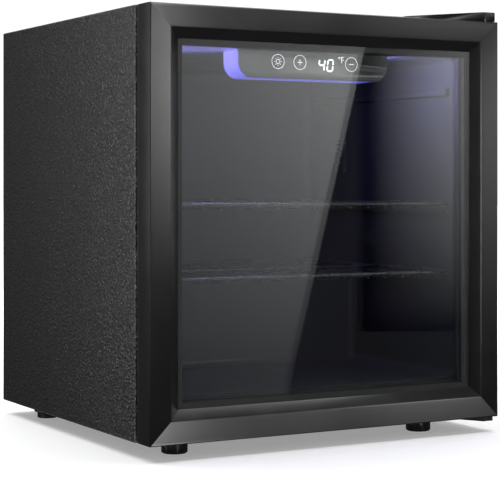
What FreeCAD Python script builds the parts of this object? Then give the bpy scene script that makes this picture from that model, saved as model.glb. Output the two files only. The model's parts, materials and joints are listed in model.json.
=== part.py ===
import FreeCAD, Part
import math
import os

import Sketcher

# A small compressor fridge with a glass door, in millimetres. +Z is up, +X is to the right of
# somebody who faces the door, and the door faces -Y. The origin is on the floor, under the
# middle of the fridge's box. The door hangs on two pins at its right side.

DRIVING_SIZES = {
    # the whole fridge
    "overall_width": 472,
    "overall_depth": 448,
    "cabinet_top": 501,
    "foot_height": 18,
    # the cabinet's sheet metal
    "sheet": 0.8,
    "bend_radius": 1.2,
    "front_flange": 24,
    "rear_flange": 12,
    "screw_head_height": 2.4,
    "bead_height": 1.2,
    "bead_width": 8,
    "bead_pitch": 46,
    # the insulated walls and the moulded liner
    "side_wall": 38.4,
    "ceiling_wall": 44,
    "floor_wall": 48,
    "rear_wall": 64,
    "liner_wall": 2,
    "liner_radius": 10,
    "flange_tuck": 4,
    "coil_zone": 6,
    # the compressor bay at the bottom of the back, as large as the compressor and its tray need
    "bay_front_gap": 15,
    "bay_rear_gap": 14,
    "bay_wall_foam": 28,
    "bay_roof_foam": 30,
    "base_plate": 1.6,
    "base_lip": 22,
    "gland_radius": 6,
    "cord_hole_radius": 3.6,
    # ribs and wire shelves
    "rib_reach": 6,
    "rib_height": 9,
    "rib_front_gap": 12,
    "rib_back_gap": 24,
    "lower_shelf_rise": 8.6,
    "shelf_spacing": 84,
    "spare_rib_drop": 36,
    "shelf_wire": 5.5,
    "shelf_rod": 3.2,
    "shelf_pitch": 25,
    "shelf_setback": 6,
    "shelf_back_gap": 7.3,
    "shelf_side_gap": 1,
    "shelf_corner": 14,
    "slip_gap": 0.4,
    # the control unit and lamp under the ceiling
    "control_width": 204.6,
    "control_depth": 36,
    "control_drop": 31.5,
    "control_setback": 9.3,
    "control_radius": 18,
    "casing_wall": 2,
    "lamp_width": 184,
    "lamp_depth": 15,
    "lamp_drop": 6.5,
    "sensor_depth": 7,
    "sensor_width": 18,
    "sensor_height": 44,
    # the door
    "door_thickness": 34,
    "door_gap": 3.7,
    "door_end_gap": 0.5,
    "rail_face": 25.5,
    "rail_slope": 1.4,
    "rail_bevel": 11.75,
    "glass_setback": 7.8,
    "lip_thickness": 0.8,
    "rail_chamber_wall": 2,
    "rail_edge_radius": 2.4,
    "glass_thickness": 4,
    "inner_glass_thickness": 3.2,
    "glass_spacing": 10,
    "glass_edge_gap": 0.4,
    "glass_cover": 9.25,
    "spacer_width": 8,
    "spacer_inset": 4.6,
    "inner_frame_width": 44,
    "inner_frame_plate": 3,
    "seal_outer": 10,
    "seal_width": 14,
    "seal_thickness": 3.2,
    "seal_root": 4,
    "magnet_width": 8,
    "magnet_thickness": 1.4,
    # hinges
    "pivot_inset": 11.5,
    "pin_radius": 4,
    "pin_length": 16,
    "running_gap": 0.05,
    "bush_wall": 2.45,
    "hinge_plate": 3,
    "lower_plate": 4.5,
    "hinge_cover_height": 11.4,
    "hinge_cover_wall": 2,
    "key_leg": 60,
    # feet
    "foot_radius": 15,
    "stud_radius": 3.95,
    "stud_length": 14,
    "insert_radius": 7,
    "insert_length": 24,
    "left_foot_inset": 58,
    "right_foot_inset": 79,
    "front_foot_inset": 57,
    "rear_foot_inset": 37,
    "rear_foot_setback": 66,
    # refrigeration
    "compressor_radius": 60,
    "compressor_clearance": 12.4,
    "compressor_height": 102,
    "compressor_wall": 3,
    "compressor_right": 70,
    "mount_plate": 2.4,
    "bolt_radius": 3,
    "tray_height": 13,
    "tray_gap": 3,
    "copper_radius": 3,
    "coil_radius": 2.4,
    "coil_pitch": 58,
    "capillary_radius": 1.2,
    "drier_radius": 9,
    "evaporator_sheet": 1.5,
    "evaporator_side_gap": 47,
    "evaporator_low_gap": 47,
    "evaporator_top_gap": 17,
    "drain_bore": 4,
    "drain_wall": 2,
    # screws
    "screw_shank": 2.4,
    "back_screw_head": 4,
    "back_screw_shank": 1.6,
    "screw_reach": 9,
}

doc = FreeCAD.newDocument("MiniFridge")
sheet = doc.addObject("Spreadsheet::Sheet", "Sizes")
for row, (alias, number) in enumerate(DRIVING_SIZES.items(), start=1):
    sheet.set(f"A{row}", alias)
    sheet.set(f"B{row}", str(number))
    sheet.setAlias(f"B{row}", alias)
doc.recompute()


class Size:
    """A size that knows its number and the spreadsheet formula that gives it."""

    def __init__(self, number, formula):
        self.number = float(number)
        self.formula = formula

    def __add__(self, other):
        other = as_size(other)
        return Size(self.number + other.number, f"({self.formula} + {other.formula})")

    def __sub__(self, other):
        other = as_size(other)
        return Size(self.number - other.number, f"({self.formula} - {other.formula})")

    def __mul__(self, other):
        other = as_size(other)
        return Size(self.number * other.number, f"({self.formula} * {other.formula})")

    def __truediv__(self, other):
        other = as_size(other)
        return Size(self.number / other.number, f"({self.formula} / {other.formula})")

    def __neg__(self):
        return Size(-self.number, f"(0 - {self.formula})")

    def __radd__(self, other):
        return as_size(other) + self

    def __rsub__(self, other):
        return as_size(other) - self

    def __rmul__(self, other):
        return as_size(other) * self

    def __float__(self):
        return self.number


def as_size(value):
    """Plain numbers join the arithmetic as constants."""
    return value if isinstance(value, Size) else Size(value, f"({float(value):.6g})")


class Sheet:
    """The driving sizes by name, read from the spreadsheet."""

    def __getattr__(self, alias):
        return Size(sheet.get(alias), f"Sizes.{alias}")


mm = Sheet()
nodes = []


# ---------------------------------------------------------------- helpers: Part objects

def bind(target, path, value):
    target.setExpression(path, as_size(value).formula)


def place(target, spot):
    for axis, value in zip("xyz", spot):
        bind(target, f"Placement.Base.{axis}", value)


def box(low, high):
    """A block between two corners."""
    block = doc.addObject("Part::Box", "Block")
    for path, start, end in zip(("Length", "Width", "Height"), low, high):
        bind(block, path, as_size(end) - as_size(start))
    place(block, low)
    return block


TURNS = {
    "x": FreeCAD.Rotation(FreeCAD.Vector(0, 1, 0), 90),
    "y": FreeCAD.Rotation(FreeCAD.Vector(1, 0, 0), -90),
    "z": FreeCAD.Rotation(),
}


def rod(start, radius, length, along="z"):
    """A round bar that starts at a point and runs the positive way along an axis."""
    bar = doc.addObject("Part::Cylinder", "Bar")
    bar.Placement = FreeCAD.Placement(FreeCAD.Vector(), TURNS[along])
    bind(bar, "Radius", radius)
    bind(bar, "Height", length)
    place(bar, start)
    return bar


def cone(start, low_radius, high_radius, length):
    """An upright tapered bar."""
    taper = doc.addObject("Part::Cone", "Taper")
    bind(taper, "Radius1", low_radius)
    bind(taper, "Radius2", high_radius)
    bind(taper, "Height", length)
    place(taper, start)
    return taper


def fuse(*solids):
    joined = doc.addObject("Part::MultiFuse", "Joined")
    joined.Shapes = list(solids)
    return joined


def group(*solids):
    """Separate solids that share one node."""
    together = doc.addObject("Part::Compound", "Group")
    together.Links = list(solids)
    return together


def cut(base, *tools):
    trimmed = doc.addObject("Part::Cut", "Trimmed")
    trimmed.Base = base
    trimmed.Tool = tools[0] if len(tools) == 1 else group(*tools)
    return trimmed


def edges_where(along=None, x=None, y=None, z=None):
    """A test for straight edges that run along one axis and have their middle at x, y or z."""
    wanted = [(axis, as_size(value).number) for axis, value in (("x", x), ("y", y), ("z", z))
              if value is not None]

    def chosen(edge):
        if edge.Curve.TypeId != "Part::GeomLine":
            return False
        middle = edge.CenterOfMass
        if any(abs(getattr(middle, axis) - value) > 0.01 for axis, value in wanted):
            return False
        direction = edge.Curve.Direction
        return along is None or any(abs(getattr(direction, axis)) > 0.99 for axis in along)

    return chosen


def either(*tests):
    """A test that passes an edge when one of the tests does."""
    return lambda edge: any(test(edge) for test in tests)


def rounded(solid, radius, chosen):
    """The solid with a fillet on each edge that the test picks."""
    doc.recompute()
    fillet = doc.addObject("Part::Fillet", "Rounded")
    fillet.Base = solid
    reach = as_size(radius).number
    fillet.Edges = [(number, reach, reach)
                    for number, edge in enumerate(solid.Shape.Edges, start=1) if chosen(edge)]
    return fillet


def node(name, made):
    """Give a finished piece its name and keep it for export."""
    made.Label = name
    nodes.append(made)
    return made


def shaped(name, shape):
    """A node whose solid is made directly, for bent tubes and wire work."""
    return node(name, plain(shape))


def plain(shape):
    feature = doc.addObject("Part::Feature", "Made")
    feature.Shape = shape
    return feature


def bent_path(points, radius):
    """A wire of straight runs through the points, with an arc at each corner."""
    spots = [FreeCAD.Vector(*(as_size(value).number for value in point)) for point in points]
    edges = []
    start = spots[0]
    for before, corner, after in zip(spots, spots[1:], spots[2:]):
        back = (before - corner).normalize()
        ahead = (after - corner).normalize()
        half_turn = (math.pi - back.getAngle(ahead)) / 2
        reach = radius * math.tan(half_turn)
        arc_start = corner + back * reach
        arc_end = corner + ahead * reach
        inward = (back + ahead).normalize()
        arc_middle = corner + inward * (radius / math.cos(half_turn) - radius)
        if (arc_start - start).Length > 1e-6:
            edges.append(Part.LineSegment(start, arc_start).toShape())
        edges.append(Part.Arc(arc_start, arc_middle, arc_end).toShape())
        start = arc_end
    edges.append(Part.LineSegment(start, spots[-1]).toShape())
    return Part.Wire(edges)


def tube(points, radius, bend, bore=0):
    """A round tube or wire along a bent path."""
    path = bent_path(points, as_size(bend).number)
    first = path.Edges[0]
    start = first.valueAt(first.FirstParameter)
    direction = first.tangentAt(first.FirstParameter)

    def swept(section_radius):
        ring = Part.Wire([Part.makeCircle(section_radius, start, direction)])
        return path.makePipeShell([ring], True, True)

    solid = swept(as_size(radius).number)
    return solid.cut(swept(bore)) if bore else solid


# ---------------------------------------------------------------- helpers: PartDesign bodies

def body(name):
    """An empty body that becomes one node."""
    return node(name, doc.addObject("PartDesign::Body", "Piece"))


NORMALS = {"XY": 1, "XZ": -1, "YZ": 1}


def outline(owner, plane, points, at):
    """A closed outline of straight lines on one of the body's origin planes, moved to `at`."""
    drawing = owner.newObject("Sketcher::SketchObject", "Outline")
    support = next(face for face in owner.Origin.OriginFeatures if face.Role == plane + "_Plane")
    drawing.AttachmentSupport = [(support, "")]
    drawing.MapMode = "FlatFace"
    bind(drawing, "AttachmentOffset.Base.z", as_size(at) * NORMALS[plane])
    points = [(as_size(u), as_size(v)) for u, v in points]
    corners = [FreeCAD.Vector(u.number, v.number, 0) for u, v in points]
    for start, end in zip(corners, corners[1:] + corners[:1]):
        drawing.addGeometry(Part.LineSegment(start, end), False)
    for side in range(len(corners)):
        following = (side + 1) % len(corners)
        drawing.addConstraint(Sketcher.Constraint("Coincident", side, 2, following, 1))
    for side, (u, v) in enumerate(points):
        for kind, value in (("DistanceX", u), ("DistanceY", v)):
            constraint = Sketcher.Constraint(kind, -1, 1, side, 1, value.number)
            number = drawing.addConstraint(constraint)
            drawing.setExpression(f"Constraints[{number}]", value.formula)
    return drawing


def pad(owner, plane, points, low, high):
    """Material between two positions along the plane's axis, inside an outline."""
    at, reversed_way = (high, False) if plane == "XZ" else (low, False)
    feature = owner.newObject("PartDesign::Pad", "Pad")
    feature.Profile = outline(owner, plane, points, at)
    feature.Reversed = reversed_way
    bind(feature, "Length", as_size(high) - as_size(low))
    doc.recompute()
    return feature


def pocket(owner, plane, points, low, high):
    """The outline cut away between two positions along the plane's axis."""
    at = low if plane == "XZ" else high
    before = owner.Shape.Volume
    feature = owner.newObject("PartDesign::Pocket", "Pocket")
    feature.Profile = outline(owner, plane, points, at)
    bind(feature, "Length", as_size(high) - as_size(low))
    doc.recompute()
    if not owner.Shape.Volume < before:
        raise RuntimeError(f"a pocket in {owner.Label} cuts nothing")
    return feature


def block(owner, low, high, away=False):
    """A block added to the body, or cut away from it."""
    feature = owner.newObject("PartDesign::" + ("SubtractiveBox" if away else "AdditiveBox"), "Block")
    for path, start, end in zip(("Length", "Width", "Height"), low, high):
        bind(feature, path, as_size(end) - as_size(start))
    place(feature, low)
    doc.recompute()
    return feature


def bore(owner, start, radius, length, along="z", away=True):
    """A round hole, or a boss with away=False, from a point the positive way along an axis."""
    kind = "SubtractiveCylinder" if away else "AdditiveCylinder"
    feature = owner.newObject("PartDesign::" + kind, "Bore")
    feature.Placement = FreeCAD.Placement(FreeCAD.Vector(), TURNS[along])
    bind(feature, "Radius", radius)
    bind(feature, "Height", length)
    place(feature, start)
    doc.recompute()
    return feature


def round_edges(owner, radius, chosen):
    """Fillet each edge of the body that the test picks."""
    tip = owner.Tip
    names = [f"Edge{number}" for number, edge in enumerate(tip.Shape.Edges, start=1) if chosen(edge)]
    fillet = owner.newObject("PartDesign::Fillet", "Rounded")
    fillet.Base = (tip, names)
    bind(fillet, "Radius", radius)
    doc.recompute()
    return fillet


def revolve(owner, points, spot):
    """A turned solid: an outline of (radius, height) points spun about an upright axis."""
    drawing = outline(owner, "XZ", points, 0)
    feature = owner.newObject("PartDesign::Revolution", "Turned")
    feature.Profile = drawing
    feature.ReferenceAxis = (drawing, ["V_Axis"])
    feature.Angle = 360
    place(owner, spot)
    doc.recompute()
    return feature


# ---------------------------------------------------------------- shared places

half_width = mm.overall_width / 2
front = -mm.overall_depth / 2
rear = mm.overall_depth / 2
low = mm.foot_height
top = mm.cabinet_top
cabinet_front = front + mm.door_thickness + mm.door_gap
shell_rear = rear - mm.screw_head_height
panel_rear = shell_rear - mm.sheet
panel_front = panel_rear - mm.sheet
shell_inside = half_width - mm.sheet
front_opening = half_width - mm.front_flange
rear_opening = half_width - mm.rear_flange

# the room inside the liner
liner_front = cabinet_front + mm.sheet
liner_half = half_width - mm.side_wall
liner_ceiling = top - mm.ceiling_wall
liner_floor = low + mm.floor_wall
liner_back = rear - mm.rear_wall

# the compressor stands on the base plate, and the bay is drawn round it
floor_of_bay = low + mm.base_plate
compressor_bottom = floor_of_bay + mm.compressor_clearance
compressor_top = compressor_bottom + mm.compressor_height
compressor_x = mm.compressor_right
compressor_y = rear - mm.bay_rear_gap - mm.compressor_radius
bay_front = compressor_y - mm.compressor_radius - mm.bay_front_gap
bay_roof = compressor_top + mm.tray_height + mm.tray_gap
step_front = bay_front - mm.bay_wall_foam - mm.liner_wall
step_top = bay_roof + mm.sheet + mm.bay_roof_foam + mm.liner_wall
mount_reach = mm.compressor_radius - 14

# shelves rest on ribs of the liner
lower_shelf_level = step_top + mm.lower_shelf_rise
upper_shelf_level = lower_shelf_level + mm.shelf_spacing
spare_rib_level = liner_ceiling - mm.spare_rib_drop

# the door's edges, its hinge axis and its bushes
pivot_x = half_width - mm.pivot_inset
pivot_y = front + mm.pivot_inset
door_low = low + mm.door_end_gap
door_high = top - mm.door_end_gap
frame_front = front + mm.door_thickness - mm.inner_frame_plate
rail_inner_wall = mm.rail_face + mm.rail_bevel - mm.glass_cover
bush_bore = mm.pin_radius + mm.running_gap
bush_radius = bush_bore + mm.bush_wall

# hinge plates and the screws that hold them
top_cover_front = front + 2
top_cover_back = front + 128
top_cover_bend = front + 90
top_cover_right = half_width - 3.5
top_cover_notch = top_cover_right - 15.5
top_cover_left = top_cover_right - 72.5
top_screw_spots = (
    (top_cover_right - 16, top_cover_back - 16), (top_cover_left + 18, top_cover_back - 16),
    (top_cover_right - 16, top_cover_back - 44),
)
bottom_plate_front = front + 2
bottom_plate_back = front + 104
bottom_plate_bend = front + 57
bottom_plate_right = half_width - 5.7
bottom_screw_spots = (
    (bottom_plate_right - 14, bottom_plate_back - 12), (bottom_plate_right - 38, bottom_plate_back - 12),
    (bottom_plate_right - 14, bottom_plate_back - 44),
)

# feet
left_foot_x = -half_width + mm.left_foot_inset
right_foot_x = half_width - mm.right_foot_inset
front_foot_y = front + mm.front_foot_inset
rear_foot_x = half_width - mm.rear_foot_inset
rear_foot_y = rear - mm.rear_foot_setback

# pipes, drain and mains gland
pipe_clearance = 1.5
suction_x = -100
suction_y = liner_back + mm.liner_wall + 5
drier_x = -150
drier_y = rear - 36
drier_low = low + 32
drier_high = low + 92
pipe_port_x = liner_half + 16
pipe_port_z = low + 92
pipe_joint_y = bay_front - 10
drain_x = 40
drain_y = liner_back - 14
gland_x = -190
gland_z = low + mm.base_lip - 9
pipe_room = 8
evaporator_half = liner_half - mm.evaporator_side_gap
evaporator_low = step_top + mm.evaporator_low_gap
evaporator_high = liner_ceiling - mm.evaporator_top_gap
coil_low = low + 26
coil_high = top - 50
coil_first_y = bay_front - 24
coil_runs = 4

# the control unit under the ceiling
control_front = cabinet_front + mm.control_setback
control_rear = control_front + mm.control_depth
control_low = liner_ceiling - mm.control_drop
control_half = mm.control_width / 2
icon_level = control_low + 19.7
key_places = (-50, -20, 51)
display_left = 0.5
display_right = 43
sensor_y = liner_back - 91
sensor_z = (upper_shelf_level + control_low) / 2 - 10.5
probe_radius = 1.9


def back_screw_spots():
    """Where the shell's rear flange is screwed to the rear panel: x and height."""
    edge = half_width - mm.rear_flange / 2
    levels = (bay_roof + 20, (bay_roof + top) / 2, top - 40)
    sides = [(side * edge, level) for side in (-1, 1) for level in levels]
    return sides + [(side * half_width / 2, top - mm.rear_flange / 2) for side in (-1, 1)]


def mount_spots():
    """The corners of the compressor's plate."""
    return [(compressor_x + right * mount_reach, compressor_y + back * mount_reach)
            for right in (-1, 1) for back in (-1, 1)]


# ---------------------------------------------------------------- the cabinet's sheet metal

def make_outer_shell():
    """Sides and top are one bent sheet with flanges turned in at the front and back."""
    shell = body("outer_shell")
    block(shell, (-half_width, cabinet_front, low), (half_width, shell_rear, top))
    round_edges(shell, mm.bend_radius, either(edges_where(z=top), edges_where("z")))
    block(shell, (-shell_inside, liner_front, low - 1), (shell_inside, panel_rear, top - mm.sheet), away=True)
    block(shell, (-front_opening, cabinet_front - 1, low - 1),
          (front_opening, liner_front + 1, top - mm.front_flange), away=True)
    block(shell, (-rear_opening, panel_rear - 1, low - 1),
          (rear_opening, shell_rear + 1, top - mm.rear_flange), away=True)
    for x, y in top_screw_spots:
        bore(shell, (x, y, top - mm.sheet - 1), mm.screw_shank, mm.sheet + 2)
    for x, z in back_screw_spots():
        bore(shell, (x, panel_rear - 1, z), mm.back_screw_shank, mm.sheet + 2, "y")


def make_base_pan():
    """The sheet under the foam, turned up at the front and bored for foot inserts and screws."""
    pan = body("base_pan")
    block(pan, (-shell_inside, liner_front, low), (shell_inside, bay_front, low + mm.sheet))
    block(pan, (-front_opening, cabinet_front, low), (front_opening, liner_front, low + mm.front_flange))
    for foot_x in (left_foot_x, right_foot_x):
        bore(pan, (foot_x, front_foot_y, low - 1), mm.insert_radius, mm.sheet + 2)
    for x, y in bottom_screw_spots:
        bore(pan, (x, y, low - 1), mm.screw_shank, mm.sheet + 2)


def make_bay_wall():
    """The front wall and roof of the compressor bay, in one bent sheet with pipe holes."""
    wall = body("bay_wall")
    block(wall, (-shell_inside, bay_front, low), (shell_inside, bay_front + mm.sheet, bay_roof + mm.sheet))
    block(wall, (-shell_inside, bay_front, bay_roof), (shell_inside, panel_front, bay_roof + mm.sheet))
    holes = (
        (drain_x, drain_y, mm.drain_bore + mm.drain_wall + pipe_clearance),
        (suction_x, suction_y, mm.copper_radius + pipe_clearance),
        (drier_x, drier_y, mm.capillary_radius + pipe_clearance),
    )
    for hole_x, hole_y, radius in holes:
        bore(wall, (hole_x, hole_y, bay_roof - 1), radius, mm.sheet + 2)
    for side in (-1, 1):
        bore(wall, (side * pipe_port_x, bay_front - 1, pipe_port_z), mm.copper_radius + pipe_clearance,
             mm.sheet + 2, "y")


def make_compressor_base():
    """The thick plate that carries the compressor, with a lip across the back."""
    base = body("compressor_base")
    start = bay_front + mm.sheet
    block(base, (-shell_inside, start, low), (shell_inside, panel_rear, floor_of_bay))
    lip_front = shell_rear - mm.base_plate
    block(base, (-rear_opening, lip_front, low), (rear_opening, shell_rear, low + mm.base_lip))
    bore(base, (gland_x, lip_front - 1, gland_z), mm.gland_radius, mm.base_plate + 2, "y")


def make_back_panel():
    """The rear sheet, stiffened with long pressed beads."""
    panel = body("back_panel")
    panel_high = top - mm.sheet
    block(panel, (-shell_inside, panel_front, bay_roof), (shell_inside, panel_rear, panel_high))
    bead_reach = half_width - 70
    bead_margin = 60
    room = (panel_high - bay_roof).number - 2 * bead_margin
    outer = panel_rear + mm.bead_height
    for turn in range(int(room // mm.bead_pitch.number) + 1):
        bead_low = bay_roof + bead_margin + turn * mm.bead_pitch
        block(panel, (-bead_reach, panel_rear, bead_low), (bead_reach, outer, bead_low + mm.bead_width))
    round_edges(panel, mm.bead_height * 0.8, edges_where("xz", y=outer))
    for x, z in back_screw_spots():
        bore(panel, (x, panel_front - 1, z), mm.back_screw_shank, mm.sheet + 2, "y")


def screw(spot, head_radius, head_height, shank_radius, shank_length, along="y", head_first=False):
    """A pan-head screw: the shank starts at the spot, and the head follows it or comes before it."""
    point = [as_size(value) for value in spot]
    axis = "xyz".index(along)
    head_at = list(point)
    head_at[axis] = point[axis] - head_height if head_first else point[axis] + shank_length
    head = rod(head_at, head_radius, head_height, along)
    rim = head_at[axis] if head_first else head_at[axis] + head_height
    head = rounded(head, as_size(head_height) * 0.4, rim_at("xyz"[axis], rim))
    return fuse(rod(point, shank_radius, shank_length, along), head)


def rim_at(axis, place):
    """A test for round edges that lie across an axis at one place."""
    def chosen(edge):
        if edge.Curve.TypeId != "Part::GeomCircle":
            return False
        return abs(getattr(edge.CenterOfMass, axis) - as_size(place).number) < 0.01
    return chosen


def make_back_screws():
    """Screws through the shell's rear flange and the rear panel."""
    length = mm.screw_reach + 2 * mm.sheet
    start = shell_rear - length
    node("back_screws", group(*(
        screw((x, start, z), mm.back_screw_head, mm.screw_head_height, mm.back_screw_shank, length)
        for x, z in back_screw_spots())))


# ---------------------------------------------------------------- liner and foam

def liner_block(grow, front_reach):
    """The room inside the liner, or with grow its outside: a box with a step over the bay."""
    base = body_free()
    side = liner_half + grow
    floor, ceiling = liner_floor - grow, liner_ceiling + grow
    back = liner_back + grow
    points = (
        (liner_front - front_reach, floor), (step_front + grow, floor),
        (step_front + grow, step_top - grow), (back, step_top - grow),
        (back, ceiling), (liner_front - front_reach, ceiling),
    )
    pad(base, "YZ", points, -side, side)

    def inside_edge(edge):
        return abs(edge.CenterOfMass.y - (liner_front - front_reach).number) > 0.01

    round_edges(base, mm.liner_radius + grow, inside_edge)
    return base


def body_free():
    """A body that is only a step towards a node."""
    return doc.addObject("PartDesign::Body", "Tool")


def make_liner_and_foam():
    """One moulded liner with shelf ribs and a front flange, and the foam that fills round it."""
    outside = liner_block(mm.liner_wall, 0)
    inside = liner_block(0, 1)
    reach = front_opening + mm.flange_tuck
    flange = box((-reach, liner_front, low + mm.sheet),
                 (reach, liner_front + mm.liner_wall, top - mm.front_flange + mm.flange_tuck))
    ribs = []
    for level in (lower_shelf_level, upper_shelf_level, spare_rib_level):
        for side in (-1, 1):
            inner = (liner_half - mm.rib_reach) * side
            outer = (liner_half + mm.liner_wall / 2) * side
            west, east = (inner, outer) if side > 0 else (outer, inner)
            rib = box((west, liner_front + mm.rib_front_gap, level - mm.rib_height),
                      (east, liner_back - mm.rib_back_gap, level))
            ribs.append(rounded(rib, 2, edges_where("yz", x=inner)))
    kept_ribs = doc.addObject("Part::MultiCommon", "Ribs")
    kept_ribs.Shapes = [outside, group(*ribs)]
    liner = fuse(cut(fuse(outside, flange), inside), kept_ribs)
    drain = rod((drain_x, drain_y, step_top - 20), mm.drain_bore, 40)
    node("inner_liner", cut(liner, drain))

    foam_low, foam_high = low + mm.sheet, top - mm.sheet
    block_of_foam = box((-shell_inside, liner_front + mm.liner_wall, foam_low),
                        (shell_inside, panel_front, foam_high))
    bay = box((-half_width, bay_front, 0), (half_width, rear, bay_roof + mm.sheet))
    room = pipe_room
    coil_front = coil_first_y - (coil_runs - 1) * mm.coil_pitch - room
    coil_back = coil_first_y + room
    hollows = [outside, bay]
    for west in (-shell_inside, shell_inside - mm.coil_zone):
        hollows.append(box((west, coil_front, coil_low - room),
                           (west + mm.coil_zone, coil_back, coil_high + room)))
    hollows.append(box((-shell_inside, coil_front, coil_low - room),
                       (shell_inside, coil_front + 2 * room, coil_low + room)))
    plate_back = liner_back + mm.liner_wall + 10
    hollows.append(box((-evaporator_half - 2, liner_back, evaporator_low - 2),
                       (evaporator_half + 2, plate_back, evaporator_high + 2)))
    hollows.append(box((suction_x - room, suction_y - room, bay_roof),
                       (suction_x + room, suction_y + room, evaporator_low)))
    hollows.append(box((drier_x - room, suction_y - room, bay_roof),
                       (drier_x + room, drier_y + room, evaporator_low)))
    hollows.append(rod((drain_x, drain_y, bay_roof), mm.drain_bore + mm.drain_wall + 1, 60))
    for west, east in ((-half_width, room - liner_half), (liner_half - room, half_width)):
        hollows.append(box((west, coil_first_y - room, pipe_port_z - room),
                           (east, bay_front, pipe_port_z + room)))
    for foot_x in (left_foot_x, right_foot_x):
        hollows.append(rod((foot_x, front_foot_y, low), mm.insert_radius, mm.insert_length))
    shank_room = mm.screw_reach + 2 * mm.sheet
    hollows += [rod((x, y, top - shank_room), mm.screw_shank, shank_room) for x, y in top_screw_spots]
    hollows += [rod((x, y, low), mm.screw_shank, shank_room) for x, y in bottom_screw_spots]
    hollows += [rod((x, panel_rear - shank_room, z), mm.back_screw_shank, shank_room, "y")
                for x, z in back_screw_spots()]
    node("insulation_foam", cut(block_of_foam, *hollows))


# ---------------------------------------------------------------- refrigeration

def make_evaporator():
    """An aluminium plate on the liner's back, with a raised channel wound across it."""
    face = liner_back + mm.liner_wall
    plate = box((-evaporator_half, face, evaporator_low),
                (evaporator_half, face + mm.evaporator_sheet, evaporator_high))
    margin = 18
    rows = 6
    reach = evaporator_half - margin
    step = (evaporator_high - evaporator_low - 2 * margin) / rows
    points = []
    for row in range(rows + 1):
        level = evaporator_low + margin + row * step
        side = 1 if row % 2 else -1
        points += [(side * reach, face + 2.5, level), (-side * reach, face + 2.5, level)]
    channel = plain(tube(points, 2.5, 12))
    trim = box((-half_width, face - 20, 0), (half_width, face, top))
    node("evaporator_plate", cut(fuse(plate, channel), trim))


def make_condenser():
    """One tube wound up and down behind each side of the shell, crossing over the base pan."""
    depth = shell_inside - mm.coil_radius - 0.6
    right_side = [(pipe_port_x, pipe_joint_y, pipe_port_z), (pipe_port_x, coil_first_y, pipe_port_z),
                  (depth, coil_first_y, pipe_port_z)]
    ends = (coil_high, coil_low)
    for turn in range(coil_runs):
        y = coil_first_y - turn * mm.coil_pitch
        if turn:
            right_side.append((depth, y, ends[(turn + 1) % 2]))
        right_side.append((depth, y, ends[turn % 2]))
    left_side = [(-x, y, z) for x, y, z in reversed(right_side)]
    shaped("condenser_coil", tube(right_side + left_side, mm.coil_radius, 6))


def make_compressor():
    """A turned steel shell in two halves with a weld flange, on a plate with four mounts."""
    shell = body_free()
    wall = mm.compressor_wall
    radius = mm.compressor_radius
    height = mm.compressor_height
    shoulder = 22
    weld = 4
    points = (
        (0, 0), (radius - shoulder, 0), (radius, shoulder), (radius, height / 2 - weld),
        (radius + weld, height / 2 - weld), (radius + weld, height / 2 + weld / 2),
        (radius, height / 2 + weld / 2),
        (radius, height - shoulder), (radius - shoulder, height), (0, height),
        (0, height - wall), (radius - shoulder - 1, height - wall),
        (radius - wall, height - shoulder - 1), (radius - wall, shoulder + 1),
        (radius - shoulder - 1, wall), (0, wall),
    )
    revolve(shell, points, (compressor_x, compressor_y, compressor_bottom))
    reach = mount_reach + 13
    plate = box((compressor_x - reach, compressor_y - reach, compressor_bottom - mm.mount_plate),
                (compressor_x + reach, compressor_y + reach, compressor_bottom))
    plate = rounded(plate, 12, edges_where("z"))
    holes = [rod((x, y, compressor_bottom - 10), mm.bolt_radius + 0.6, 20) for x, y in mount_spots()]
    node("compressor_shell", cut(fuse(shell, plate), *holes))
    inside = compressor_bottom + wall
    core = rod((compressor_x, compressor_y, inside), radius - 24, height - 2 * wall - 14)
    head = rod((compressor_x, compressor_y, inside + 20), radius - 10, 26)
    node("motor_and_pump", fuse(core, head))


def make_compressor_mounts():
    """Rubber mounts under the corners of the compressor's plate, each with its bolt."""
    mounts, bolts = [], []
    mount_top = compressor_bottom - mm.mount_plate
    lip = 3
    for x, y in mount_spots():
        waist = fuse(rod((x, y, floor_of_bay), 10, mount_top - floor_of_bay),
                     rod((x, y, floor_of_bay), 12, lip), rod((x, y, mount_top - lip), 12, lip))
        mounts.append(cut(waist, rod((x, y, floor_of_bay - 1), mm.bolt_radius, mm.compressor_clearance + 2)))
        bolts.append(screw((x, y, floor_of_bay), 6, 3.5, mm.bolt_radius, mm.compressor_clearance, "z"))
    node("compressor_mounts", group(*mounts))
    node("compressor_bolts", group(*bolts))


def compressor_drum(clearance):
    """The compressor's outside as an upright drum, to cut what is fitted against it."""
    return rod((compressor_x, compressor_y, 0), mm.compressor_radius + clearance, top)


def make_relay_cover():
    """The plastic box over the compressor's start relay, hollow towards the shell."""
    west = compressor_x - mm.compressor_radius - 20
    east = compressor_x - mm.compressor_radius / 2
    low_side, high_side = compressor_bottom + 12, compressor_bottom + 46
    wall = 2
    outer = box((west, compressor_y - 12, low_side), (east, compressor_y + 34, high_side))
    outer = rounded(outer, 3, edges_where("yz", x=west))
    inner = box((west + wall, compressor_y - 12 + wall, low_side + wall),
                (east + 1, compressor_y + 34 - wall, high_side - wall))
    node("relay_cover", cut(outer, inner, compressor_drum(0.3)))


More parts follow.
